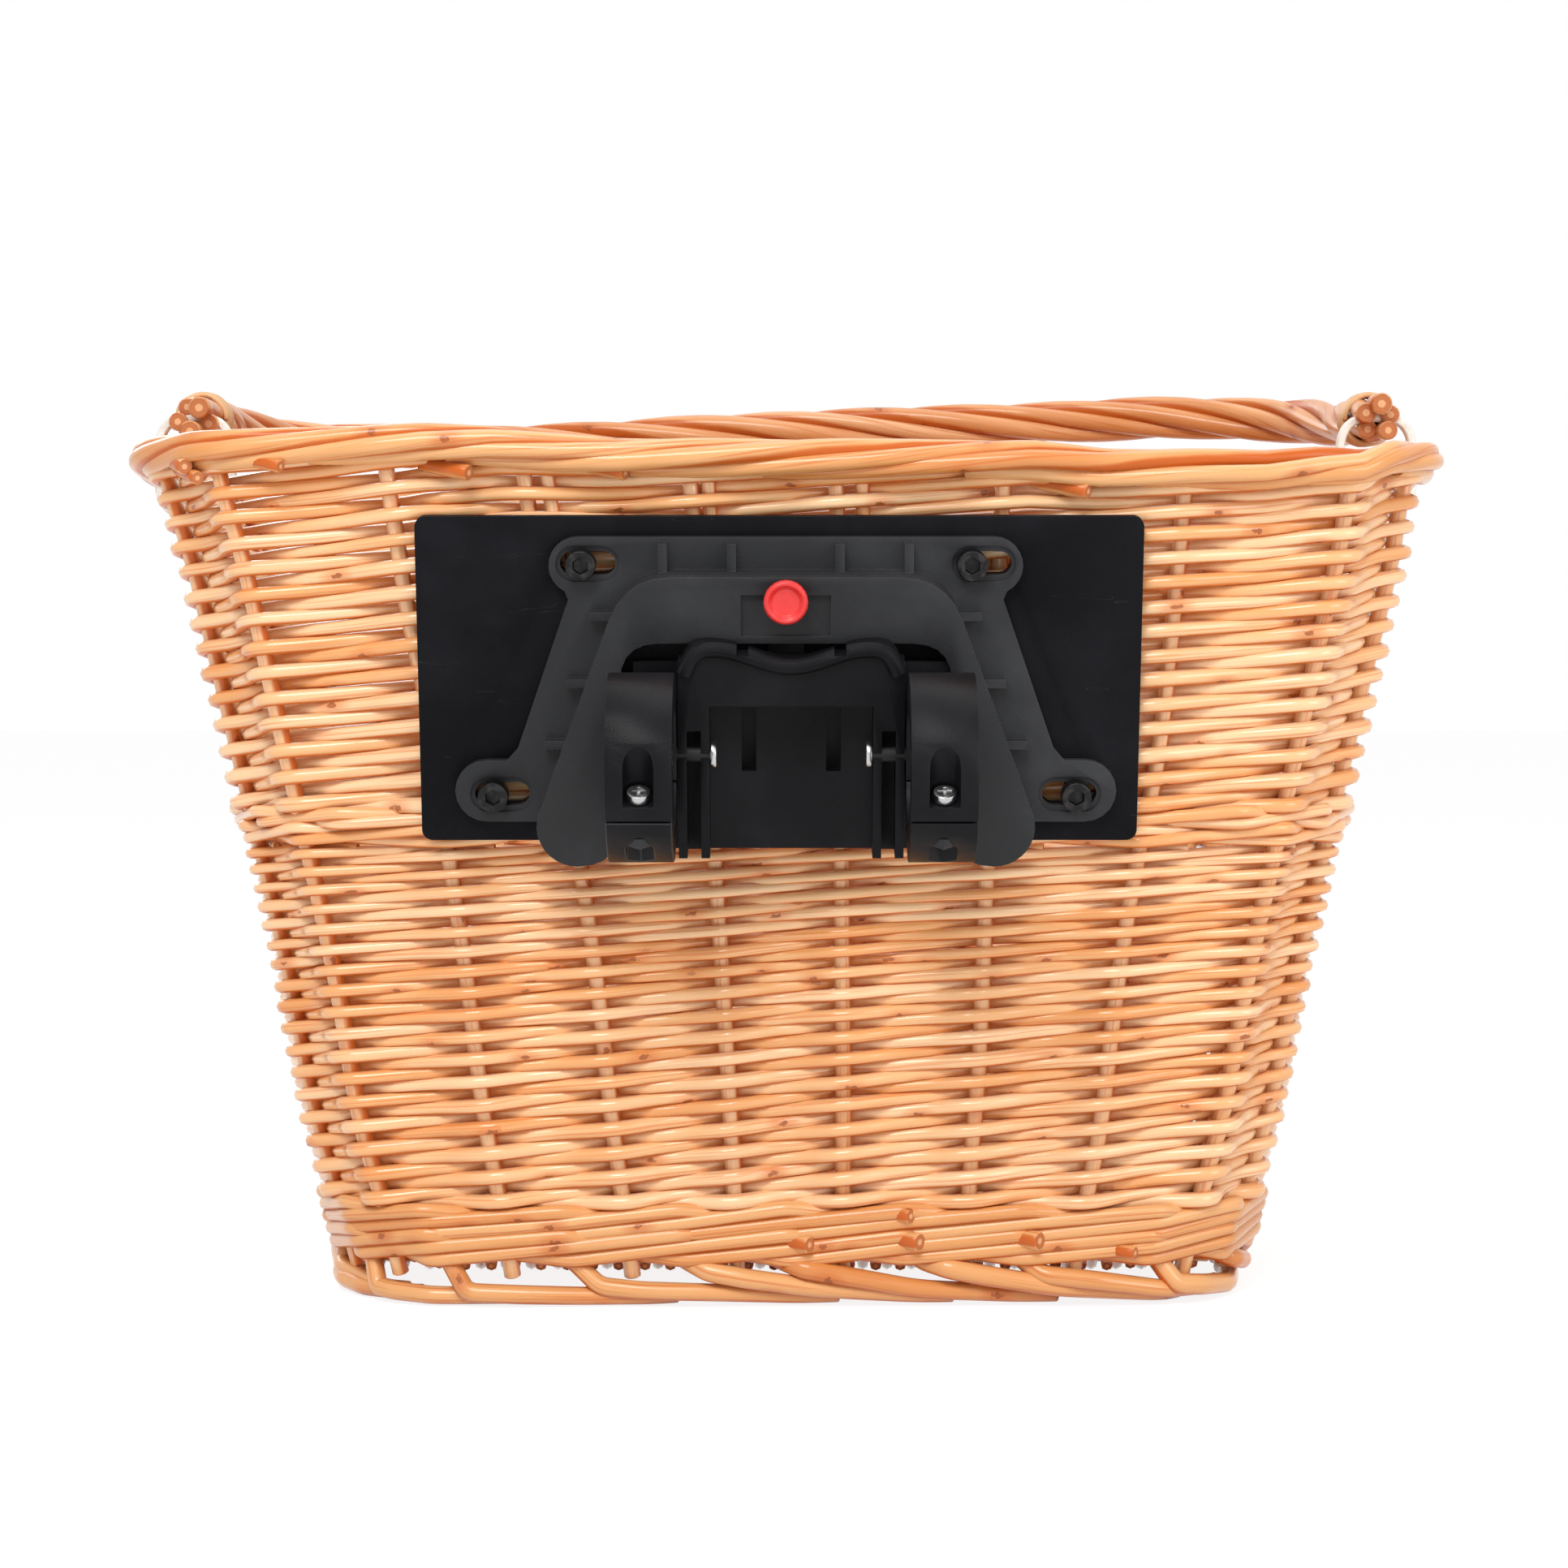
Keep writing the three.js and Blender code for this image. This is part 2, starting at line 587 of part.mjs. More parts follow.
function makeWall() {
  const inner = WALL_THICKNESS;
  const band = (z0, z1) => ring([[0, z0], [0, z1], [inner, z1], [inner, z0]], wallAt);
  const rooms = plateBolts.flatMap(boltRoom);
  const notch = (side) => {
    const reach = LOOP_HALF_WIDTH + LOOP_WIRE;
    const half = LOOP_WIRE + LOOP_FIT;
    const x = side * RIM_HALF_X;
    return box(x - reach, x + reach, -half, half, LOOP_BOTTOM_Z - half, WALL_TOP + half);
  };
  const lower = wovenBand(BOTTOM_WALE_TOP, LOWER_WEAVE_TOP, LOWER_ROWS, LOWER_TAPER);
  const middle = band(LOWER_WEAVE_TOP, MIDDLE_WALE_TOP);
  const upper = wovenBand(MIDDLE_WALE_TOP, WALL_TOP, UPPER_ROWS, UPPER_TAPER);
  add(basket, "bottom_wale", band(FOOT_HEIGHT, BOTTOM_WALE_TOP), wale);
  add(basket, "lower_weave", cut(lower, ...rooms), willow);
  add(basket, "middle_wale", cut(middle, ...rooms), wale);
  add(basket, "upper_weave", cut(upper, ...rooms, notch(-1), notch(1)), willow);
}

function makeFoot() {
  const outline = wallAt(FOOT_HEIGHT);
  const edge = FOOT_EDGE_ROUND;
  const footRing = ring([
    [edge - FOOT_BULGE, 0], [-FOOT_BULGE, edge], [-FOOT_BULGE, FOOT_RING_HEIGHT - edge],
    [edge - FOOT_BULGE, FOOT_RING_HEIGHT], [FOOT_RING_WIDTH, FOOT_RING_HEIGHT], [FOOT_RING_WIDTH, 0],
  ], () => outline);
  const half = STAKE_WIDTH / 2;
  const stakes = footPlaces.map((_, number) => {
    const { x, y, turn } = wallPoint(number, FOOT_HEIGHT, half + FIT);
    const stake = box(-half, half, -half, half, FOOT_RING_HEIGHT / 2, FOOT_HEIGHT);
    return stake.rotateZ(turn).translate(x, y, 0);
  });
  add(basket, "foot_border", joined(footRing, ...stakes), willow);

  const inset = WALL_THICKNESS + FIT;
  const edgeLine = roundedLoop(outline, inset, { corner: 8, side: 1 });
  const shape = new THREE.Shape(edgeLine.map(([x, y]) => new THREE.Vector2(x, y)));
  const panel = new THREE.ExtrudeGeometry(shape, { depth: BASE_THICKNESS, bevelEnabled: false });
  add(basket, "base_panel", panel.translate(0, 0, FOOT_RING_HEIGHT), willow);
}

function makeRim() {
  const outline = { halfX: RIM_HALF_X, halfY: RIM_HALF_Y, corner: TOP_CORNER + RIM_OVERHANG };
  add(basket, "rim_border", roundRing(outline, RIM_RADIUS, RIM_Z, 12, WALL_STEPS), willow);
}

// The hoop runs from one pivot along an arm, round a corner, across, and back to the other pivot
function handleCurve() {
  const far = HANDLE_REACH;
  const near = far - HANDLE_CORNER;
  const edge = RIM_HALF_X;
  const inner = edge - HANDLE_CORNER;
  const diagonal = HANDLE_CORNER * Math.SQRT1_2;
  const half = [
    [edge, 0], [edge, near / 2], [edge, near], [inner + diagonal, near + diagonal],
    [inner, far], [inner / 2, far],
  ];
  const left = half.map(([x, y]) => [-x, y]);
  const right = half.slice().reverse();
  const points = [...left, [0, far], ...right];
  return new THREE.CatmullRomCurve3(
    points.map(([x, y], i) => new THREE.Vector3(x, y, PIVOT_Z + HANDLE_RISE[i])), false, "centripetal");
}

function makeHandle() {
  const curve = handleCurve();
  const section = new THREE.Shape().absarc(0, 0, HANDLE_RADIUS, 0, 2 * Math.PI);
  const hoop = new THREE.ExtrudeGeometry(section, { steps: HANDLE_STEPS, curveSegments: 5, extrudePath: curve });
  const onPivot = (radius, length, sides) => [-1, 1].map((side) =>
    new THREE.CylinderGeometry(radius, radius, length, sides)
      .rotateZ(Math.PI / 2).translate(side * RIM_HALF_X, 0, PIVOT_Z));
  const whole = joined(hoop, ...onPivot(KNUCKLE_RADIUS, 2 * HANDLE_RADIUS, ROUND));
  add(basket, "handle_hoop", cut(whole, ...onPivot(LOOP_WIRE + LOOP_FIT, 4 * HANDLE_RADIUS, 12)), roped);

  // Each binding is a sleeve whose axis follows the arm where it is wound
  const inner = HANDLE_RADIUS + FIT;
  const outer = inner + BINDING_THICKNESS;
  const half = BINDING_LENGTH / 2;
  const sleeve = turned([[inner, -half], [outer, -half], [outer, half], [inner, half], [inner, -half]]);
  const total = curve.getLength();
  ["left", "right"].forEach((name, i) => {
    const middle = (BINDING_START + half) / total;
    const share = i === 0 ? middle : 1 - middle;
    const point = curve.getPointAt(share);
    const tangent = curve.getTangentAt(share);
    const turn = new THREE.Quaternion().setFromUnitVectors(new THREE.Vector3(0, 1, 0), tangent);
    const placed = sleeve.clone().applyQuaternion(turn).translate(point.x, point.y, point.z);
    add(basket, `handle_binding_${name}`, placed, raffia);
  });
}

function makeHingeLoops() {
  const halfHeight = (PIVOT_Z - LOOP_BOTTOM_Z) / 2;
  const outline = { halfX: LOOP_HALF_WIDTH, halfY: halfHeight, corner: LOOP_CORNER };
  const loop = roundRing(outline, LOOP_WIRE, 0, 8, LOOP_STEPS).rotateX(Math.PI / 2);
  [["left", -1], ["right", 1]].forEach(([name, side]) => {
    const placed = loop.clone().translate(side * RIM_HALF_X, 0, LOOP_BOTTOM_Z + halfHeight);
    add(basket, `hinge_loop_${name}`, placed, whitePlastic);
  });
}

function makeMountingPlate() {
  const [halfX, halfU, r] = [PLATE_WIDTH / 2, PLATE_HEIGHT / 2, PLATE_CORNER];
  const shape = new THREE.Shape();
  shape.absarc(halfX - r, halfU - r, r, 0, Math.PI / 2, false);
  shape.absarc(r - halfX, halfU - r, r, Math.PI / 2, Math.PI, false);
  shape.absarc(r - halfX, r - halfU, r, Math.PI, 1.5 * Math.PI, false);
  shape.absarc(halfX - r, r - halfU, r, 1.5 * Math.PI, 2 * Math.PI, false);
  shape.closePath();
  const sheet = slab(shape, PLATE_BACK, PLATE_FRONT).translate(PLATE_SIDE_OFFSET, 0, PLATE_RISE);
  const holes = slots.map(([x, u]) => slab(slotShape(x, u, SLOT_LENGTH, SLOT_WIDTH), 0, FLANGE_BACK));
  add(bracketFrame, "mounting_plate", cut(sheet, ...holes), sheetPlastic);
}

function flangeShape() {
  const upperX = UPPER_EAR_X;
  const neck = UPPER_EAR_U - UPPER_EAR_RADIUS - EAR_NECK;
  const flare = LOWER_EAR_U + LOWER_EAR_RADIUS + WAIST_FLARE;
  const shape = new THREE.Shape();
  shape.moveTo(-upperX, FLANGE_TOP);
  shape.lineTo(upperX, FLANGE_TOP);
  shape.absarc(upperX, UPPER_EAR_U, UPPER_EAR_RADIUS, Math.PI / 2, -0.35 * Math.PI, true);
  shape.lineTo(WAIST_TOP_X, neck);
  shape.lineTo(WAIST_BOTTOM_X, flare);
  shape.lineTo(WAIST_BOTTOM_X + WAIST_STEP, LOWER_EAR_U + LOWER_EAR_RADIUS);
  shape.absarc(LOWER_EAR_X, LOWER_EAR_U, LOWER_EAR_RADIUS, Math.PI / 2, -Math.PI / 2, true);
  shape.absarc(-LOWER_EAR_X, LOWER_EAR_U, LOWER_EAR_RADIUS, 1.5 * Math.PI, Math.PI / 2, true);
  shape.lineTo(-WAIST_BOTTOM_X - WAIST_STEP, LOWER_EAR_U + LOWER_EAR_RADIUS);
  shape.lineTo(-WAIST_BOTTOM_X, flare);
  shape.lineTo(-WAIST_TOP_X, neck);
  shape.absarc(-upperX, UPPER_EAR_U, UPPER_EAR_RADIUS, 1.35 * Math.PI, Math.PI / 2, true);
  shape.closePath();
  return shape;
}

function housingShape() {
  const crownControl = HOUSING_SHOULDER_X - HOUSING_CROWN_PULL;
  const shape = new THREE.Shape();
  shape.moveTo(-HOUSING_CROWN_X, HOUSING_TOP);
  shape.lineTo(HOUSING_CROWN_X, HOUSING_TOP);
  shape.quadraticCurveTo(crownControl, HOUSING_TOP, HOUSING_SHOULDER_X, HOUSING_SHOULDER_U);
  shape.absarc(LOBE_X, LOBE_U, LOBE_RADIUS, 0.11 * Math.PI, -Math.PI / 2, true);
  shape.lineTo(-LOBE_X, LOBE_U - LOBE_RADIUS);
  shape.absarc(-LOBE_X, LOBE_U, LOBE_RADIUS, 1.5 * Math.PI, 0.89 * Math.PI, true);
  shape.lineTo(-HOUSING_SHOULDER_X, HOUSING_SHOULDER_U);
  shape.quadraticCurveTo(-crownControl, HOUSING_TOP, -HOUSING_CROWN_X, HOUSING_TOP);
  return shape;
}

// The opening between the horseshoe's legs, with its two upper corners rounded
function mouthShape(half, lobeRadius) {
  const shape = new THREE.Shape();
  const inner = LOBE_X - lobeRadius;
  const below = LOBE_U - 2 * LOBE_RADIUS;
  shape.moveTo(-LOBE_X, below);
  shape.lineTo(LOBE_X, below);
  shape.lineTo(LOBE_X, LOBE_U - LOBE_RADIUS);
  shape.quadraticCurveTo(inner, LOBE_U - LOBE_RADIUS, half, LOBE_U);
  shape.lineTo(half, MOUTH_TOP - MOUTH_CORNER);
  shape.quadraticCurveTo(half, MOUTH_TOP, half - MOUTH_CORNER, MOUTH_TOP);
  shape.lineTo(MOUTH_CORNER - half, MOUTH_TOP);
  shape.quadraticCurveTo(-half, MOUTH_TOP, -half, MOUTH_TOP - MOUTH_CORNER);
  shape.lineTo(-half, LOBE_U);
  shape.quadraticCurveTo(-inner, LOBE_U - LOBE_RADIUS, -LOBE_X, LOBE_U - LOBE_RADIUS);
  shape.closePath();
  return shape;
}

// Short stiffening ribs on the flange, four above the housing and three down each side
function flangeRibs() {
  const half = RIB_WIDTH / 2;
  const [n0, n1] = [FLANGE_FRONT - FIT, FLANGE_FRONT + RIB_DEPTH];
  const upright = UPPER_RIB_X.flatMap((x) => [-x, x]).map((x) =>
    block(x - half, x + half, n0, n1, HOUSING_TOP - 2 * half, FLANGE_TOP - half));
  const slope = (LOBE_X + LOBE_RADIUS - HOUSING_SHOULDER_X) / (HOUSING_SHOULDER_U - LOBE_U);
  const level = SIDE_RIB_U.flatMap((u) => {
    const start = HOUSING_SHOULDER_X + (HOUSING_SHOULDER_U - u) * slope - RIB_WIDTH;
    return [-1, 1].map((side) => {
      const ends = [side * start, side * (start + RIB_LENGTH)].sort((a, b) => a - b);
      return block(ends[0], ends[1], n0, n1, u - half, u + half);
    });
  });
  return [...upright, ...level];
}

function makeAdapter() {
  const flange = slab(flangeShape(), FLANGE_BACK, FLANGE_FRONT);
  const raised = cut(slab(housingShape(), FLANGE_FRONT - FIT, HOUSING_FRONT),
    slab(mouthShape(MOUTH_HALF, LOBE_RADIUS), FLANGE_FRONT - 2 * FIT, HOUSING_FRONT + FIT));
  const grooveHalf = TONGUE_HALF + 2 * FIT + BRACKET_SIDE_OFFSET;
  const groove = block(-grooveHalf, grooveHalf, FLANGE_FRONT, LIP_BACK, LOBE_U - 2 * LOBE_RADIUS,
    TONGUE_TOP + FIT);
  const buttonRoom = BUTTON_STEM_RADIUS + BUTTON_FLANGE + FIT;
  const scoop = block(-BUTTON_SCOOP_HALF, BUTTON_SCOOP_HALF, HOUSING_FRONT - BUTTON_SCOOP_DEPTH,
    HOUSING_FRONT + FIT, MOUTH_TOP + BUTTON_SCOOP_START, BUTTON_U + BUTTON_SCOOP_END);
  const cuts = [
    groove,
    rod(0, BUTTON_U, BUTTON_STEM_RADIUS + FIT, FLANGE_FRONT, HOUSING_FRONT + FIT),
    rod(0, BUTTON_U, buttonRoom, FLANGE_FRONT, LATCH_FRONT + BUTTON_FLANGE_ROOM, 12),
    block(-LATCH_HALF - FIT, LATCH_HALF + FIT, FLANGE_FRONT, LATCH_FRONT + FIT, 0, BUTTON_U + LATCH_HALF),
    scoop,
    ...slots.map(([x, u]) => slab(slotShape(x, u, SLOT_LENGTH, SLOT_WIDTH), 0, HOUSING_FRONT)),
    ...slots.map(([x, u]) => slab(slotShape(x, u, SLOT_RECESS_LENGTH, SLOT_RECESS_WIDTH),
      FLANGE_FRONT - SLOT_RECESS_DEPTH, HOUSING_FRONT)),
    ...[-1, 1].map((side) => rod(side * LATCH_SCREW_X, LATCH_ROOT_U, LATCH_SCREW.shank + SCREW_FIT, 0,
      FLANGE_FRONT + FIT, 12)),
    ...[-1, 1].map((side) => rod(side * LATCH_SCREW_X, LATCH_ROOT_U, LATCH_SCREW.head + FIT, 0,
      FLANGE_BACK + LATCH_SCREW.headHeight + FIT, 12)),
  ];
  add(bracketFrame, "adapter_plate", cut(joined(flange, raised, ...flangeRibs()), ...cuts), mouldedPlastic);
}

function makePlateBolts() {
  const seat = FLANGE_FRONT - SLOT_RECESS_DEPTH + FIT;
  const { shank, head, headHeight, socket, socketDepth } = PLATE_BOLT;
  const wallInside = -WASHER_SEAT * Math.cos(WALL_LEAN) - FIT;
  const washerBack = wallInside - PLATE_WASHER.height;
  const nutFront = washerBack - FIT;
  const nutBack = nutFront - PLATE_NUT.height;
  const hole = new THREE.Path().absarc(0, 0, shank + SCREW_FIT, 0, 2 * Math.PI, true);
  const washerShape = new THREE.Shape().absarc(0, 0, PLATE_WASHER.radius, 0, 2 * Math.PI);
  washerShape.holes.push(hole);
  const nutShape = polygonShape(6, PLATE_NUT.radius);
  nutShape.holes.push(hole);
  plateBolts.forEach(({ x, u }, i) => {
    const number = i + 1;
    const screw = joined(rod(x, u, head, seat, seat + headHeight),
      rod(x, u, shank, nutBack - BOLT_TAIL, seat + FIT, 12));
    const key = rod(x, u, socket, seat + headHeight - socketDepth, seat + headHeight + FIT, 6);
    add(bracketFrame, `plate_bolt_${number}`, cut(screw, key), blackSteel);
    const washer = slab(washerShape, washerBack, wallInside).translate(x, 0, u);
    const nut = slab(nutShape, nutBack, nutFront).translate(x, 0, u);
    add(bracketFrame, `plate_washer_${number}`, washer, zincSteel);
    add(bracketFrame, `plate_nut_${number}`, nut, zincSteel);
  });
}

// The button is turned round n: a dished cap on a stem, with a flange behind that keeps it in
function makeRelease() {
  const capBack = HOUSING_FRONT + BUTTON_TRAVEL + FIT;
  const face = capBack + BUTTON_CAP;
  const back = LATCH_FRONT + FIT;
  const flangeRadius = BUTTON_STEM_RADIUS + BUTTON_FLANGE;
  const flangeTop = back + BUTTON_FLANGE_HEIGHT;
  const button = turned([
    [0, back], [flangeRadius, back], [flangeRadius, flangeTop], [BUTTON_STEM_RADIUS, flangeTop],
    [BUTTON_STEM_RADIUS, capBack], [BUTTON_RADIUS, capBack],
    [BUTTON_RADIUS, face - BUTTON_CHAMFER], [BUTTON_RADIUS - BUTTON_CHAMFER, face],
    [BUTTON_RADIUS - BUTTON_RIM, face], [BUTTON_RADIUS - 2 * BUTTON_RIM, face - BUTTON_DISH],
    [0, face - BUTTON_DISH_MIDDLE],
  ], 24);
  // The profile's height runs along +Y, and n runs along -Y
  const turnedOut = button.rotateX(Math.PI).translate(0, 0, BUTTON_U);
  add(bracketFrame, "release_button", turnedOut, redPlastic);

  const leafTop = BUTTON_U + LATCH_HALF - FIT;
  const rootBack = FLANGE_FRONT + FIT;
  const leaf = joined(
    block(-LATCH_HALF, LATCH_HALF, LATCH_BACK, LATCH_FRONT, LATCH_ROOT_U - LATCH_ROOT_HALF, leafTop),
    block(-LATCH_HALF, LATCH_HALF, rootBack, LATCH_FRONT, LATCH_ROOT_U - LATCH_ROOT_HALF,
      LATCH_ROOT_U + LATCH_ROOT_HALF),
    block(-LATCH_HALF + 1, LATCH_HALF - 1, LATCH_BACK, LATCH_FRONT + LATCH_TOOTH_DEPTH,
      LATCH_TOOTH_U - LATCH_TOOTH_HALF, LATCH_TOOTH_U + LATCH_TOOTH_HALF));
  const screwTip = LATCH_FRONT - LATCH_SCREW_COVER;
  const pilots = [-1, 1].map((side) =>
    rod(side * LATCH_SCREW_X, LATCH_ROOT_U, LATCH_SCREW.shank + SCREW_FIT, 0, screwTip + FIT, 12));
  add(bracketFrame, "latch_leaf", cut(leaf, ...pilots), mouldedPlastic);
  ["left", "right"].forEach((name, i) => {
    const x = (i === 0 ? -1 : 1) * LATCH_SCREW_X;
    const screw = joined(
      rod(x, LATCH_ROOT_U, LATCH_SCREW.head, FLANGE_BACK, FLANGE_BACK + LATCH_SCREW.headHeight, 12),
      rod(x, LATCH_ROOT_U, LATCH_SCREW.shank, FLANGE_BACK + LATCH_SCREW.headHeight - FIT, screwTip, 12));
    add(bracketFrame, `latch_screw_${name}`, screw, zincSteel);
  });
}

// Height of the hood's wavy lip: a dip in the middle between two humps, falling off at the ends
function lipHeight(x) {
  const wave = LIP_MIDDLE_U - LIP_WAVE * Math.cos((2 * Math.PI * x) / LIP_WAVE_LENGTH);
  const pastHump = Math.max(0, Math.abs(x) - CHEEK_OUTER + LIP_FALL_LENGTH);
  return wave - LIP_FALL * pastHump ** 2;
}

// The screws that hold the clamp arms lie along x, through the cheeks
function armScrewRod(radius, x0, x1, sides = ROUND) {
  return crossRod(ARM_SCREW_DISTANCE, ARM_SCREW_HEIGHT, radius, x0, x1, sides);
}

function makeBracketBody() {
  const tongueShape = new THREE.Shape();
  tongueShape.moveTo(-TONGUE_TAB_HALF, TONGUE_TOP);
  [
    [TONGUE_TAB_HALF, TONGUE_TOP], [TONGUE_TAB_HALF, TONGUE_SHOULDER + TONGUE_SHOULDER_SLOPE],
    [TONGUE_HALF, TONGUE_SHOULDER], [TONGUE_HALF, TONGUE_BOTTOM], [-TONGUE_HALF, TONGUE_BOTTOM],
    [-TONGUE_HALF, TONGUE_SHOULDER], [-TONGUE_TAB_HALF, TONGUE_SHOULDER + TONGUE_SHOULDER_SLOPE],
  ].forEach(([x, u]) => tongueShape.lineTo(x, u));
  tongueShape.closePath();
  const tongue = slab(tongueShape, TONGUE_BACK, TONGUE_FRONT);
  const root = TONGUE_FRONT - FIT;
  const cheek = block(CHEEK_INNER, CHEEK_OUTER, root, CHEEK_FRONT, TONGUE_BOTTOM, HOOD_TOP);
  const hood = block(-CHEEK_OUTER, CHEEK_OUTER, root, CHEEK_FRONT, HOOD_BOTTOM, HOOD_TOP);

  // The lip stands in front of the housing, so it may rise past the mouth's top
  const lipBack = HOUSING_FRONT + 2 * FIT;
  const lipShape = new THREE.Shape();
  lipShape.moveTo(-CHEEK_OUTER, HOOD_TOP - HOOD_WALL);
  lipShape.lineTo(CHEEK_OUTER, HOOD_TOP - HOOD_WALL);
  const lipSteps = 28;
  const lipPoints = [];
  for (let i = 0; i <= lipSteps; i++) {
    const x = CHEEK_OUTER - (2 * CHEEK_OUTER * i) / lipSteps;
    lipPoints.push([x, lipHeight(x)]);
    lipShape.lineTo(x, lipHeight(x));
  }
  lipShape.closePath();
  const lip = slab(lipShape, lipBack, CHEEK_FRONT);
  const inset = LIP_BEAD * LIP_BEAD_INSET;
  const beadCurve = new THREE.CatmullRomCurve3(lipPoints.map(([x, u]) =>
    new THREE.Vector3(x * (1 - inset / CHEEK_OUTER), -CHEEK_FRONT, u - inset)));
  const beadSection = new THREE.Shape().absarc(0, 0, LIP_BEAD, 0, 2 * Math.PI);
  const beadOptions = { steps: lipSteps, curveSegments: 5, extrudePath: beadCurve };
  const bead = new THREE.ExtrudeGeometry(beadSection, beadOptions);

  const slit = block(CHEEK_INNER + CHEEK_WALL, CHEEK_OUTER - CHEEK_WALL, TONGUE_FRONT + CHEEK_SLIT_FLOOR,
    CHEEK_FRONT + FIT, TONGUE_BOTTOM - FIT, CHEEK_SLIT_TOP);
  const notchU = lipHeight(LIP_NOTCH_X);
  const notch = (side) => block(side * LIP_NOTCH_X - LIP_NOTCH_WIDTH / 2,
    side * LIP_NOTCH_X + LIP_NOTCH_WIDTH / 2, lipBack - FIT, CHEEK_FRONT + LIP_BEAD + FIT,
    notchU - LIP_NOTCH_DEPTH, notchU + LIP_BEAD);
  const backSlot = (side) => block(side * TONGUE_SLOT_X - TONGUE_SLOT_WIDTH / 2,
    side * TONGUE_SLOT_X + TONGUE_SLOT_WIDTH / 2, TONGUE_BACK - FIT, TONGUE_FRONT + FIT,
    TONGUE_SLOT_BOTTOM, TONGUE_SLOT_TOP);
  const window = block(-LATCH_HALF - BRACKET_SIDE_OFFSET, LATCH_HALF - BRACKET_SIDE_OFFSET,
    TONGUE_BACK - FIT, TONGUE_FRONT + FIT,
    LATCH_TOOTH_U - LATCH_TOOTH_HALF - FIT, LATCH_TOOTH_U + LATCH_TOOTH_HALF + FIT);
  const cavity = block(-CHEEK_INNER, CHEEK_INNER, TONGUE_FRONT, CHEEK_FRONT - HOOD_WALL, HOOD_BOTTOM - FIT,
    HOOD_TOP - HOOD_WALL);
  const screwHole = armScrewRod(ARM_SCREW.shank + SCREW_FIT, -CHEEK_OUTER - 1, CHEEK_OUTER + 1, 12);
  const body = joined(tongue, cheek, mirroredX(cheek), hood, lip, bead);
  const finished = cut(body, cavity, slit, mirroredX(slit), notch(-1), notch(1), backSlot(-1), backSlot(1),
    window, screwHole);
  add(barBracket, "handlebar_bracket", finished, mouldedPlastic);
}

// A clamp piece is a sector of a ring round the bar's axis, between two angles in degrees
function clampSector(from, to) {
  const [start, end] = [THREE.MathUtils.degToRad(from), THREE.MathUtils.degToRad(to)];
  const shape = new THREE.Shape();
  shape.absarc(BAR_DISTANCE, BAR_HEIGHT, CLAMP_RADIUS, start, end, false);
  shape.absarc(BAR_DISTANCE, BAR_HEIGHT, BAR_RADIUS, end, start, true);
  shape.closePath();
  return shape;
}

// A turned piece on a clamp screw's axis, which is square to the parting face
function onClampAxis(geometry, x) {
  const tilt = THREE.MathUtils.degToRad(PARTING_ANGLE);
  const n = BAR_DISTANCE + CLAMP_SCREW_REACH * Math.cos(tilt);
  const u = BAR_HEIGHT + CLAMP_SCREW_REACH * Math.sin(tilt);
  return geometry.rotateX(Math.PI / 2 - tilt).translate(x, -n, u);
}

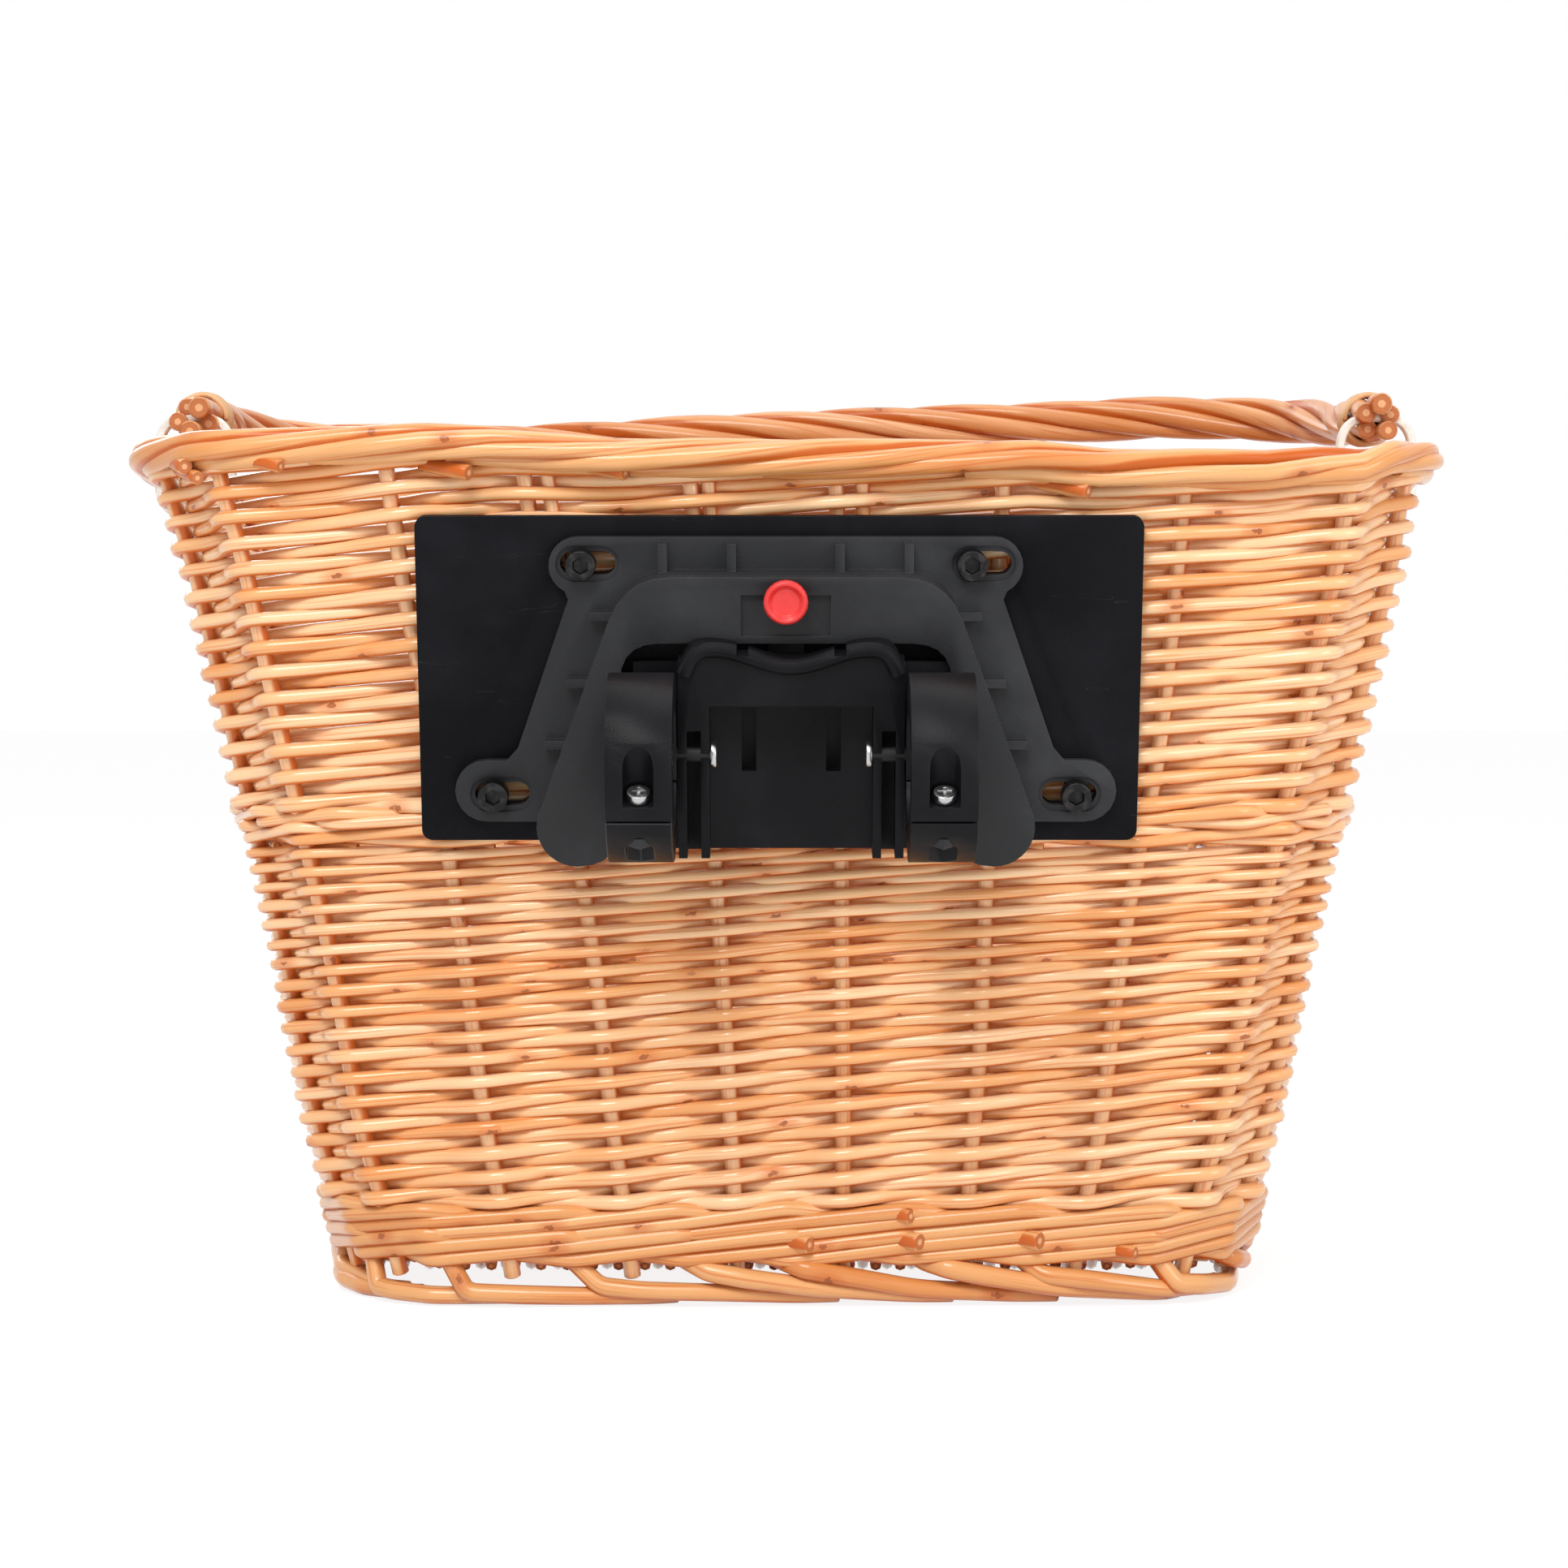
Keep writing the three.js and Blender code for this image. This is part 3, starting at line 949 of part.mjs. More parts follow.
function makeClamps() {
  const gapDegrees = THREE.MathUtils.radToDeg(PARTING_GAP / CLAMP_RADIUS) / 2;
  const { shank, head, headHeight } = CLAMP_SCREW;
  const cross = CLAMP_SCREW_CROSS;
  const middle = (ARM_INNER + ARM_OUTER) / 2;
  const nutFace = -CLAMP_NUT_DEPTH - FIT;
  const screwEnd = nutFace - CLAMP_NUT.height - BOLT_TAIL;
  const along = (radius, from, to, sides = ROUND) => {
    const geometry = new THREE.CylinderGeometry(radius, radius, to - from, sides);
    return onClampAxis(geometry.translate(0, (from + to) / 2, 0), middle);
  };
  const armShape = clampSector(PARTING_ANGLE + gapDegrees, HEEL_ANGLE - gapDegrees);
  const capShape = clampSector(HEEL_ANGLE + gapDegrees, 360 + PARTING_ANGLE - gapDegrees);
  const armBody = sideSlab(armShape, ARM_INNER, ARM_OUTER);
  const capBody = sideSlab(capShape, ARM_INNER, ARM_OUTER);
  const pocketFront = onClampAxis(box(-CLAMP_POCKET, CLAMP_POCKET, CLAMP_SEAT, 3 * CLAMP_RADIUS,
    0, CLAMP_RADIUS), middle);
  const armScrewPilot = armScrewRod(ARM_SCREW.shank + SCREW_FIT, ARM_INNER - 1,
    ARM_INNER + ARM_SCREW_BITE + FIT, 12);
  const arm = cut(armBody, along(CLAMP_POCKET, CLAMP_SEAT, 3 * CLAMP_RADIUS), pocketFront,
    along(shank + SCREW_FIT, -CLAMP_RADIUS, 3 * CLAMP_RADIUS, 12), armScrewPilot);
  const cap = cut(capBody, along(shank + SCREW_FIT, -CLAMP_RADIUS, CLAMP_RADIUS, 12),
    along(CLAMP_NUT.radius + FIT, -2 * CLAMP_RADIUS, -CLAMP_NUT_DEPTH, 6));
  const recess = [0, 1].map((turn) => onClampAxis(
    box(-cross.half, cross.half, CLAMP_SEAT + FIT + headHeight - cross.depth, CLAMP_SEAT + 2 * headHeight,
      -cross.width / 2, cross.width / 2)
      .rotateY(turn * Math.PI / 2), middle));
  const clampScrew = cut(joined(along(head, CLAMP_SEAT + FIT, CLAMP_SEAT + FIT + headHeight),
    along(shank, screwEnd, CLAMP_SEAT + 2 * FIT, 12)), ...recess);
  const clampNut = cut(along(CLAMP_NUT.radius, nutFace - CLAMP_NUT.height, nutFace, 6),
    along(shank + SCREW_FIT, -CLAMP_RADIUS, 0, 12));
  const headFace = CHEEK_INNER - FIT;
  const armScrew = joined(
    armScrewRod(ARM_SCREW.head, headFace - ARM_SCREW.headHeight, headFace),
    armScrewRod(ARM_SCREW.shank, headFace - FIT, ARM_INNER + ARM_SCREW_BITE, 12));
  const pieces = [
    ["clamp_arm", arm, mouldedPlastic], ["clamp_cap", cap, mouldedPlastic],
    ["clamp_screw", clampScrew, zincSteel], ["clamp_nut", clampNut, zincSteel],
    ["arm_screw", armScrew, zincSteel],
  ];
  pieces.forEach(([name, geometry, material]) => {
    add(barBracket, `${name}_left`, mirroredX(geometry), material);
    add(barBracket, `${name}_right`, geometry, material);
  });
}

makeFoot();
makeWall();
makeRim();
makeHandle();
makeHingeLoops();
makeMountingPlate();
makeAdapter();
makePlateBolts();
makeRelease();
makeBracketBody();
makeClamps();

// Centre the finished basket on its own box, standing on z = 0
basket.updateMatrixWorld(true);
const bounds = new THREE.Box3().setFromObject(basket, true);
basket.position.set(-(bounds.min.x + bounds.max.x) / 2, -(bounds.min.y + bounds.max.y) / 2, -bounds.min.z);

export default basket;
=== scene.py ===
import math
import bmesh
import bpy
import numpy as np
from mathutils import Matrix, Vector


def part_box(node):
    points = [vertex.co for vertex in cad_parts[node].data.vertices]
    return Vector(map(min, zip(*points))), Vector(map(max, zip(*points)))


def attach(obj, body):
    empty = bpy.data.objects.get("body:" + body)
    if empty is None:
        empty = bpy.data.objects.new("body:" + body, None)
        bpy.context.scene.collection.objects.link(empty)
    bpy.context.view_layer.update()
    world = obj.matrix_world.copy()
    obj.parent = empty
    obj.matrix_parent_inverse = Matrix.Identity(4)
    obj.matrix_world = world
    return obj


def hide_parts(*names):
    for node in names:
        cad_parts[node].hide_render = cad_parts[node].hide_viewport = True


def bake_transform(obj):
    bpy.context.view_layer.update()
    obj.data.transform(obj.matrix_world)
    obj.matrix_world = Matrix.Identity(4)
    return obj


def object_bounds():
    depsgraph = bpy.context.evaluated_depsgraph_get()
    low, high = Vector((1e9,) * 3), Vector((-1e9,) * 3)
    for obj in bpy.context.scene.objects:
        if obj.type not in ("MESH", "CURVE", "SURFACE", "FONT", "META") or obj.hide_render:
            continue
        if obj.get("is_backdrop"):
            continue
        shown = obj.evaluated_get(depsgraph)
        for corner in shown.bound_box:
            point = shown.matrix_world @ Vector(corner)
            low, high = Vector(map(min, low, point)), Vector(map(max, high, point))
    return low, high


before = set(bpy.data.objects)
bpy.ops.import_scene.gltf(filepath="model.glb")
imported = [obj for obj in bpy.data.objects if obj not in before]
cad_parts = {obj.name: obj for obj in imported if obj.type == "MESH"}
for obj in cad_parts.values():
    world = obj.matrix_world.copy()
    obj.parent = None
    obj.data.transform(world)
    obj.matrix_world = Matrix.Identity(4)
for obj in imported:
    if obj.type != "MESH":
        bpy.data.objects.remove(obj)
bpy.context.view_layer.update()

# Base. Nine thick sticks lie along the basket and thin weavers go across them, over one and under the next,
# packed tight. Peeled willow under clear varnish.
MM = 0.001
BASKET_Y = 23.699


class Link:
    """A socket of a finish; arithmetic on it adds Math nodes."""

    def __init__(self, finish, socket):
        self.finish, self.socket = finish, socket

    def __add__(self, other):
        return self.finish.calc("ADD", self, other)

    def __sub__(self, other):
        return self.finish.calc("SUBTRACT", self, other)

    def __rsub__(self, other):
        return self.finish.calc("SUBTRACT", other, self)

    def __mul__(self, other):
        return self.finish.calc("MULTIPLY", self, other)

    def __getitem__(self, name):
        return Link(self.finish, self.socket.node.outputs[name])


class Finish:
    """A material made of nodes, or a world."""

    def __init__(self, name, owner=bpy.data.materials):
        self.block = owner.new(name)
        self.block.use_nodes = True
        self.tree = self.block.node_tree
        self.tree.nodes.clear()

    def node(self, kind, settings=None, sockets=None, out=0):
        """A node with its settings and its sockets' values or links, and the link to its output."""
        made = self.tree.nodes.new(kind)
        for name, value in (settings or {}).items():
            setattr(made, name, value)
        for name, value in (sockets or {}).items():
            if isinstance(value, Link):
                self.tree.links.new(value.socket, made.inputs[name])
            elif made.inputs[name].type == "RGBA":
                made.inputs[name].default_value = (*value, 1.0)
            else:
                made.inputs[name].default_value = value
        return Link(self, made.outputs[out]) if made.outputs else None

    def calc(self, operation, *values):
        return self.node("ShaderNodeMath", {"operation": operation}, dict(enumerate(values)))

    def mix(self, factor, first, second):
        return self.node("ShaderNodeMix", {"data_type": "RGBA"}, {0: factor, 6: first, 7: second}, 2)

    def step(self, value, low, high):
        """0 below low, 1 above high and a smooth change between."""
        settings = {"interpolation_type": "SMOOTHSTEP"}
        return self.node("ShaderNodeMapRange", settings, {0: value, 1: low, 2: high})

    def noise(self, vector, scale, detail=2.0, roughness=0.5):
        sockets = {"Vector": vector, "Scale": scale, "Detail": detail, "Roughness": roughness}
        return self.node("ShaderNodeTexNoise", {}, sockets)

    def stretched(self, vector, *factors):
        """The vector with its x, y and z made larger or smaller."""
        return self.node("ShaderNodeVectorMath", {"operation": "MULTIPLY"}, {0: vector, 1: factors})

    def place(self):
        """The point's place on the piece, in metres."""
        return self.node("ShaderNodeTexCoord")["Object"]

    def rod_map(self):
        return self.node("ShaderNodeUVMap", {"uv_map": "rod"})

    def bump(self, height, strength, distance):
        return self.node("ShaderNodeBump", {}, {"Strength": strength, "Distance": distance, "Height": height})

    def surface(self, **sockets):
        """The material, from a Principled shader's sockets by name, with an underscore for each blank."""
        names = {key.replace("_", " "): value for key, value in sockets.items()}
        shader = self.node("ShaderNodeBsdfPrincipled", {}, names)
        self.node("ShaderNodeOutputMaterial", {}, {"Surface": shader})
        return self.block


def willow(name, pale, mid, dark, gloss=0.62, coat=1.0):
    """Varnished willow. Each rod has a tone of its own; fibres and orange streaks run along it, painted shade
    darkens it where rods touch, most underneath, and brown knots sit here and there. The map's x is metres
    along
    the rod and its y goes once round it: the side that faces out is at a half, the underside past it."""
    finish = Finish(name)
    tone = finish.node("ShaderNodeAttribute", {"attribute_name": "tone"})["Fac"]
    along = finish.rod_map()
    around = finish.node("ShaderNodeSeparateXYZ", {}, {0: along})["Y"]
    offset = finish.node("ShaderNodeCombineXYZ", {}, {0: tone * 37.0, 2: tone * 91.0})
    own = finish.node("ShaderNodeVectorMath", {"operation": "ADD"}, {0: along, 1: offset})

    def grain(lengthways, sideways, detail):
        return finish.noise(finish.stretched(own, lengthways, sideways, 1.0), 1.0, detail)

    fibre, patch = grain(34.0, 26.0, 3.0), grain(22.0, 1.4, 2.0)
    stain, streak = grain(48.0, 2.4, 3.0), grain(16.0, 15.0, 2.0)
    base = finish.mix(finish.step(tone * 0.8 + patch * 1.1, 0.45, 1.4), pale, mid)
    base = finish.mix(finish.step(patch * 0.7 + tone * 0.45, 0.60, 0.95) * 0.6, base, dark)
    base = finish.mix(finish.step(fibre, 0.5, 0.75) * 0.3, base, dark)
    # A deep orange used for the orange streaks, the knots' halos and the painted shade in the creases.
    streak_and_shade_orange = tuple(channel * share for channel, share in zip(dark, (0.92, 0.58, 0.26)))
    base = finish.mix(finish.step(streak, 0.56, 0.68) * 0.5, base, streak_and_shade_orange)
    # Painted shade: rods are darkened toward the deep orange where they touch the rods above and below, most
    # on their undersides, broken up by stains; the coat is thinner there too.
    both_sides = finish.calc("COSINE", around * (4 * math.pi))
    underside = finish.calc("SINE", around * (2 * math.pi))
    crease_shade = finish.step(both_sides * -0.5 + underside * -0.3 + stain * 0.8, 0.46, 1.05) * 0.92
    base = finish.mix(crease_shade, base, streak_and_shade_orange)
    spot = finish.node("ShaderNodeTexVoronoi", {"voronoi_dimensions": "2D"},
                       {"Vector": finish.stretched(own, 38.0, 1.0, 1.0), "Scale": 1.0})
    chosen = finish.step(spot["Color"], 0.52, 0.54)
    halo = finish.step(spot["Distance"] * -1.0, -0.26, -0.06) * chosen
    ragged = grain(700.0, 9.0, 2.0)
    core = finish.step(spot["Distance"] * -1.0 + (ragged - 0.5) * 0.16, -0.07, -0.035) * chosen
    knot_brown = (0.34, 0.085, 0.018)
    base = finish.mix(halo * 0.5, base, streak_and_shade_orange)
    base = finish.mix(core * 0.85, base, knot_brown)
    height = fibre * 0.3 + grain(9.0, 1.0, 1.0) * 1.2 + halo * 0.5 + core * -1.0
    return finish.surface(Base_Color=base, Roughness=(fibre * 0.14 + stain * 0.14) + (1 - gloss) * 0.55,
                          Specular_IOR_Level=0.15, Coat_Weight=(1.0 - crease_shade * 0.7 - core * 0.3) * coat,
                          Coat_Roughness=0.17, Coat_IOR=1.5, Normal=finish.bump(height, 0.4, 0.0005))


def cut_end(name, ring, pith):
    """A rod's sawn end: a browner ring of wood round a pale soft middle."""
    finish = Finish(name)
    out = finish.node("ShaderNodeSeparateXYZ", {}, {0: finish.rod_map()})["Y"]
    speck = finish.noise(finish.place(), 900.0, 3.0)
    base = finish.mix(finish.step(out + (speck - 0.5) * 0.16, 0.36, 0.46), pith, ring)
    base = finish.mix(finish.step(out, 0.86, 1.0) * 0.5, base, tuple(channel * 0.45 for channel in ring))
    return finish.surface(Base_Color=base, Roughness=0.62, Normal=finish.bump(speck, 0.4, 0.0003))


def tubes(path, outward, radius, tone, sides=8):
    """Rods as closed tubes. Each point of a ring is path + radius (cos a n + sin a b), where n is the outward
    direction made square to the rod, b is square to both, and a goes once round from the hidden side. A
    smaller ring rounds each end, and a fan of faces to a middle point closes it."""
    rounding = 0.14
    along = np.gradient(path, axis=1)
    along /= np.linalg.norm(along, axis=-1, keepdims=True)
    radius = np.broadcast_to(radius, path.shape[:2])
    ends = along[:, [0, -1]] * (radius[:, [0, -1], None] * rounding)
    centre = np.concatenate([path[:, :1] - ends[:, :1], path, path[:, -1:] + ends[:, 1:]], 1)
    along = np.concatenate([along[:, :1], along, along[:, -1:]], 1)
    outward = np.concatenate([outward[:, :1], outward, outward[:, -1:]], 1)
    size = np.concatenate([radius[:, :1] * (1 - rounding), radius, radius[:, -1:] * (1 - rounding)], 1)
    normal = outward - (outward * along).sum(-1, keepdims=True) * along
    normal /= np.linalg.norm(normal, axis=-1, keepdims=True)
    side = np.cross(along, normal)
    angle = math.pi + np.arange(sides) * 2 * math.pi / sides
    ring = np.cos(angle)[:, None] * normal[:, :, None] + np.sin(angle)[:, None] * side[:, :, None]
    points = centre[:, :, None] + size[:, :, None, None] * ring
    rods, length = points.shape[:2]
    step = np.linalg.norm(np.diff(centre, axis=1), axis=-1)
    run = np.concatenate([np.zeros((rods, 1)), np.cumsum(step, 1)], 1) * MM
    own = length * sides + 2
    first = np.arange(rods)[:, None, None] * own
    row, column = np.arange(length - 1)[None, :, None], np.arange(sides)[None, None]
    after = (column + 1) % sides
    a, b = first + row * sides + column, first + row * sides + after
    c, d = b + sides, a + sides
    quads = np.stack([a, b, c, d], -1).reshape(-1, 4)
    u0, u1 = (np.broadcast_to(u[:, :, None], a.shape) for u in (run[:, :-1], run[:, 1:]))
    v0 = np.broadcast_to(column / sides, a.shape)
    v1 = v0 + 1 / sides
    quad_map = np.stack([np.stack([u0, v0], -1), np.stack([u0, v1], -1), np.stack([u1, v1], -1),
                         np.stack([u1, v0], -1)], -2).reshape(-1, 2)
    start = first[:, 0] + length * sides
    end, last = start + 1, start - sides
    here, there = column[0], after[0]
    begin = np.stack([np.broadcast_to(start, (rods, sides)), first[:, 0] + there, first[:, 0] + here], -1)
    finish = np.stack([np.broadcast_to(end, (rods, sides)), last + here, last + there], -1)
    fans = np.concatenate([begin.reshape(-1, 3), finish.reshape(-1, 3)])
    fan_map = np.tile([[0.0, 0.0], [0.0, 1.0], [0.0, 1.0]], (len(fans), 1))
    flat = np.concatenate([points.reshape(rods, -1, 3), centre[:, :1], centre[:, -1:]], 1)
    return {"points": flat.reshape(-1, 3), "quads": quads, "fans": fans, "quad_map": quad_map,
            "fan_map": fan_map, "tone": np.repeat(np.broadcast_to(tone, rods), own)}


def put(name, mesh, materials):
    """A piece of this mesh, in the scene."""
    for material in materials:
        mesh.materials.append(material)
    piece = bpy.data.objects.new(name, mesh)
    bpy.context.scene.collection.objects.link(piece)
    return piece


def put_rods(name, groups, material):
    """One mesh of all the rods in the groups, with their map and tones and the sawn finish on their ends."""
    counts = np.cumsum([0] + [len(g["points"]) for g in groups])
    points = np.concatenate([g["points"] for g in groups]) * MM
    quads = np.concatenate([g["quads"] + n for g, n in zip(groups, counts)])
    fans = np.concatenate([g["fans"] + n for g, n in zip(groups, counts)])
    loops = np.concatenate([quads.ravel(), fans.ravel()])
    sizes = np.repeat([4, 3], [len(quads), len(fans)])
    starts = np.concatenate([[0], np.cumsum(sizes)[:-1]])
    mesh = bpy.data.meshes.new(name)
    mesh.vertices.add(len(points))
    mesh.vertices.foreach_set("co", points.astype(np.float32).ravel())
    mesh.loops.add(len(loops))
    mesh.loops.foreach_set("vertex_index", loops.astype(np.int32))
    mesh.polygons.add(len(sizes))
    mesh.polygons.foreach_set("loop_start", starts.astype(np.int32))
    mesh.polygons.foreach_set("material_index", (sizes == 3).astype(np.int32))
    mesh.polygons.foreach_set("use_smooth", sizes == 4)
    maps = np.concatenate([g[part] for part in ("quad_map", "fan_map") for g in groups])
    uv = mesh.uv_layers.new(name="rod")
    uv.data.foreach_set("uv", maps.astype(np.float32).ravel())
    tones = mesh.attributes.new("tone", "FLOAT", "POINT")
    tones.data.foreach_set("value", np.concatenate([g["tone"] for g in groups]).astype(np.float32))
    mesh.update(calc_edges=True)
    mesh.validate()
    return put(name, mesh, [material, sawn_willow])


def wander(rng, shape, reach, knots=7):
    """A slow random change along each rod: random values at a few knots with straight lines between,
    smoothed."""
    rods, length = shape
    places = np.linspace(0, 1, knots)
    values = rng.normal(0, reach, (rods, knots))
    spread = np.linspace(0, 1, length)
    lines = np.stack([np.interp(spread, places, row) for row in values])
    width = max(3, length // (knots * 2))
    kernel = np.hanning(width + 2)
    padded = np.pad(lines, ((0, 0), (len(kernel) // 2, len(kernel) // 2)), mode="edge")
    return np.stack([np.convolve(row, kernel / kernel.sum(), "valid")[:length] for row in padded])


weave_willow = willow("weave_willow", (0.93, 0.61, 0.34), (0.86, 0.43, 0.165), (0.74, 0.265, 0.062))
border_willow = willow("border_willow", (0.79, 0.415, 0.17), (0.73, 0.315, 0.100), (0.61, 0.185, 0.036),
                       coat=0.7)
sawn_willow = cut_end("sawn_willow", (0.50, 0.155, 0.045), (0.76, 0.40, 0.19))
rng = np.random.default_rng(11)
BASE_Z, BASE_HALF_Y, BASE_CORNER, BASE_CORNER_START = 13.0, 73, 36, 95
STICKS, WEAVERS, WEAVE_DEPTH = 9, 69, 2.8
up = np.array([0.0, 0.0, 1.0])
stick_x, stick_y = np.linspace(-126, 126, 42), np.linspace(-62, 62, STICKS)
sticks = np.stack(np.broadcast_arrays(stick_x[None], stick_y[:, None] + BASKET_Y, BASE_Z), -1)
weaver_x = np.linspace(-129, 129, WEAVERS)
into_corner = np.clip((np.abs(weaver_x) - BASE_CORNER_START) / BASE_CORNER, 0, 1)
reach = BASE_HALF_Y - BASE_CORNER * (1 - np.sqrt(1 - into_corner ** 2))
weaver_y = np.linspace(-1, 1, 77) * reach[:, None]
spacing = stick_y[1] - stick_y[0]
over_first = np.where(np.arange(WEAVERS) % 2, 1, -1)[:, None]
phase = np.cos(math.pi * (weaver_y - stick_y[0]) / spacing) * over_first
weavers = np.stack([weaver_x[:, None] + wander(rng, weaver_y.shape, 0.25), weaver_y + BASKET_Y,
                    BASE_Z + WEAVE_DEPTH * phase], -1)
base = put_rods("woven_base", [
    tubes(sticks, np.broadcast_to(up, sticks.shape), 2.3, rng.random(STICKS), 7),
    tubes(weavers, np.broadcast_to(up, weavers.shape), 1.75, rng.random(WEAVERS), 7)], weave_willow)
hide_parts("base_panel")
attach(base, "basket")

# Stakes. A maker stands 28 rods upright round a flaring box with round corners: six along each long side,
# four at each end and two at each corner. Six more stand beside them near the top, three on the near side.
# All of the wall is woven round them, so it is placed by stake number and height.
STAKES = 28
WALL_DEPTH = 12.0
FOOT = {"half_x": 141.0, "half_y": 83.0, "corner": 46.0, "z": 13.0}
TOP = {"half_x": 185.0, "half_y": 132.0, "corner": 48.0, "z": 238.0}
LONG_SIDE = {"foot": [-0.86, -0.476, -0.15, 0.176, 0.549, 0.886],
             "top": [-0.8, -0.528, -0.196, 0.105, 0.442, 0.813]}
SHORT_SIDE = {"foot": [-0.677, -0.219, 0.219, 0.677], "top": [-0.7, -0.23, 0.23, 0.7]}
CORNER = {"foot": [0.36, 0.72], "top": [0.33, 0.76]}
ONCE_ROUND = 8
SKEW, SKEW_FADE = 2.1, 20
BELLY, BELLY_Z, BELLY_REACH = 2.3, 58, 28


def stake_places(level):
    """Place of each stake round the box, where each side counts 1 and each corner 1, from the near left. One
    stake before them and two after them are the same ones again."""
    places = []
    for side in range(4):
        straight = LONG_SIDE[level] if side % 2 == 0 else SHORT_SIDE[level]
        corner = CORNER[level] if side % 2 == 0 else [1 - share for share in reversed(CORNER[level])]
        places += [2 * side + (share + 1) / 2 for share in straight]
        places += [2 * side + 1 + share for share in corner]
    return np.array([places[-1] - ONCE_ROUND, *places, places[0] + ONCE_ROUND, places[1] + ONCE_ROUND])


foot_places, top_places = stake_places("foot"), stake_places("top")
stake_numbers = np.arange(-1, STAKES + 2)


def wall_point(number, z, inset):
    """Point of the wall at a stake number and height, inset inwards from its outer face, and the outward
    direction there. The place round the box goes evenly from the foot's to the top's; on a side the point
    runs straight, and at a corner it turns on a circle that the inset makes smaller. The box was woven a
    little askew: with s = x over half of its size there, it lies SKEW s^2 to the right, fading out over
    SKEW_FADE under the top, and its belly is BELLY s exp(-((z - BELLY_Z) / BELLY_REACH)^2)."""
    number, z, inset = np.broadcast_arrays(np.asarray(number, float), z, inset)
    share = (z - FOOT["z"]) / (TOP["z"] - FOOT["z"])
    turn = number % STAKES
    at_foot, at_top = (np.interp(turn, stake_numbers, places) for places in (foot_places, top_places))
    place = (at_foot + (at_top - at_foot) * share) % ONCE_ROUND
    side = np.floor(place / 2)
    run = place - 2 * side
    half_x, half_y, corner = (FOOT[size] + (TOP[size] - FOOT[size]) * share
                              for size in ("half_x", "half_y", "corner"))
    near = side % 2 == 0
    along = np.where(near, half_x, half_y) - corner
    out = np.where(near, half_y, half_x) - corner
    bend = np.clip(run - 1, 0, 1) * math.pi / 2
    straight = np.where(run < 1, 2 * run - 1, 1.0)
    across = straight * along + (corner - inset) * np.sin(bend)
    away = -out - (corner - inset) * np.cos(bend)
    cos_side, sin_side = np.cos(side * math.pi / 2), np.sin(side * math.pi / 2)
    x = across * cos_side - away * sin_side
    y = across * sin_side + away * cos_side
    far = x / half_x
    x = x + SKEW * far ** 2 * np.clip((TOP["z"] - z) / SKEW_FADE, 0, 1)
    x = x + BELLY * far * np.exp(-((z - BELLY_Z) / BELLY_REACH) ** 2)
    point = np.stack([x, y + BASKET_Y, z], -1)
    n_across, n_away = np.sin(bend), -np.cos(bend)
    outward = np.stack([n_across * cos_side - n_away * sin_side, n_across * sin_side + n_away * cos_side,
                        np.zeros_like(x)], -1)
    return point, outward


rng = np.random.default_rng(12)
height = np.linspace(9, 243, 24)
number = np.arange(STAKES)[:, None] + wander(rng, (STAKES, len(height)), 0.012)
stake_path, stake_out = wall_point(number, height, WALL_DEPTH / 2)
stake_radius = 2.55 - 0.2 * np.linspace(0, 1, len(height))
doubles = np.array([1.14, 2.13, 3.15, 12.9, 15.12, 17.13])[:, None]
double_path, double_out = wall_point(doubles, np.linspace(196, 243, 12), WALL_DEPTH / 2)
stakes = put_rods("stakes", [
    tubes(stake_path, stake_out, stake_radius, rng.random(STAKES) * 0.5, 10),
    tubes(double_path, double_out, 2.1, rng.random(len(doubles)) * 0.5, 10)], weave_willow)
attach(stakes, "basket")


# Foot. Each stake's lower end comes out under the wale, turns sharply to the right and lies along the edge,
# sloping down over the next two, so the basket stands on the ends' undersides.
def bent(corners, outward, thick, offsets=(-0.5, -0.3, -0.1, -0.05, 0.0, 0.05, 0.1, 0.3), give=0.1):
    """Rods that run straight from stake to stake and bend over a short length at each. With C at a stake, B
    and A at the stakes before and after it, a point s bays from C is C + p (B - C) + q (A - C). Outside the
    bend p or q is the distance; in it, with t going from 0 to 1, p = give (1 - t)^2 and q = give t^2."""
    s = np.asarray(offsets)
    t = np.clip((s + give) / (2 * give), 0, 1)
    before = np.where(s < -give, -s, give * (1 - t) ** 2)[:, None]
    after = np.where(s > give, s, give * t ** 2)[:, None]
    placed = []
    for values in (corners, outward, thick[..., None]):
        here, back, ahead = values[:, 1:-1, None], values[:, :-2, None], values[:, 2:, None]
        spots = here + before * (back - here) + after * (ahead - here)
        placed.append(spots.reshape(len(values), -1, values.shape[-1]))
    return placed[0], placed[1], placed[2][..., 0]


rng = np.random.default_rng(13)
bays = np.array([-0.45, -0.2, 0.0, 0.35, 1.0, 1.9, 2.8])
each = (STAKES, len(bays))
sharp_z = np.array([24.0, 13.5, 4.4, 3.6, 3.2, 3.0, 3.2])
slant_z = np.array([20.0, 13.5, 11.6, 9.6, 6.4, 3.6, 3.0])
sharp = rng.choice([0.0, 0.6, 1.0], STAKES)
sharp[[26, 27, 0, 1, 2, 3, 4, 5, 6]] = [1.0, 1.0, 1.0, 0.75, 0.1, 0.0, 0.0, 0.25, 0.7]
sharp = sharp[:, None]
first = np.arange(STAKES)[:, None] - 0.25 + rng.normal(0, 0.07, (STAKES, 1))
reach = bays * np.where(sharp > 0.9, 0.72, 1.0)
height = sharp * sharp_z + (1 - sharp) * slant_z + rng.normal(0, 0.4, each) * [0, 0, 0.5, 1, 1, 0, 0]
depth = np.array([6.0, 5.6, 1.6, 1.4, 2.2, 4.5, 9.0]) + rng.normal(0, 0.4, each) * [0, 0, 0.5, 1, 1, 1, 0]
foot_corners, foot_out = wall_point(first + reach, np.maximum(height, 3.0), depth)
foot_thick = np.array([2.6, 2.8, 3.0, 2.95, 2.8, 2.6, 2.4]) * (1 + rng.normal(0, 0.05, (STAKES, 1)))
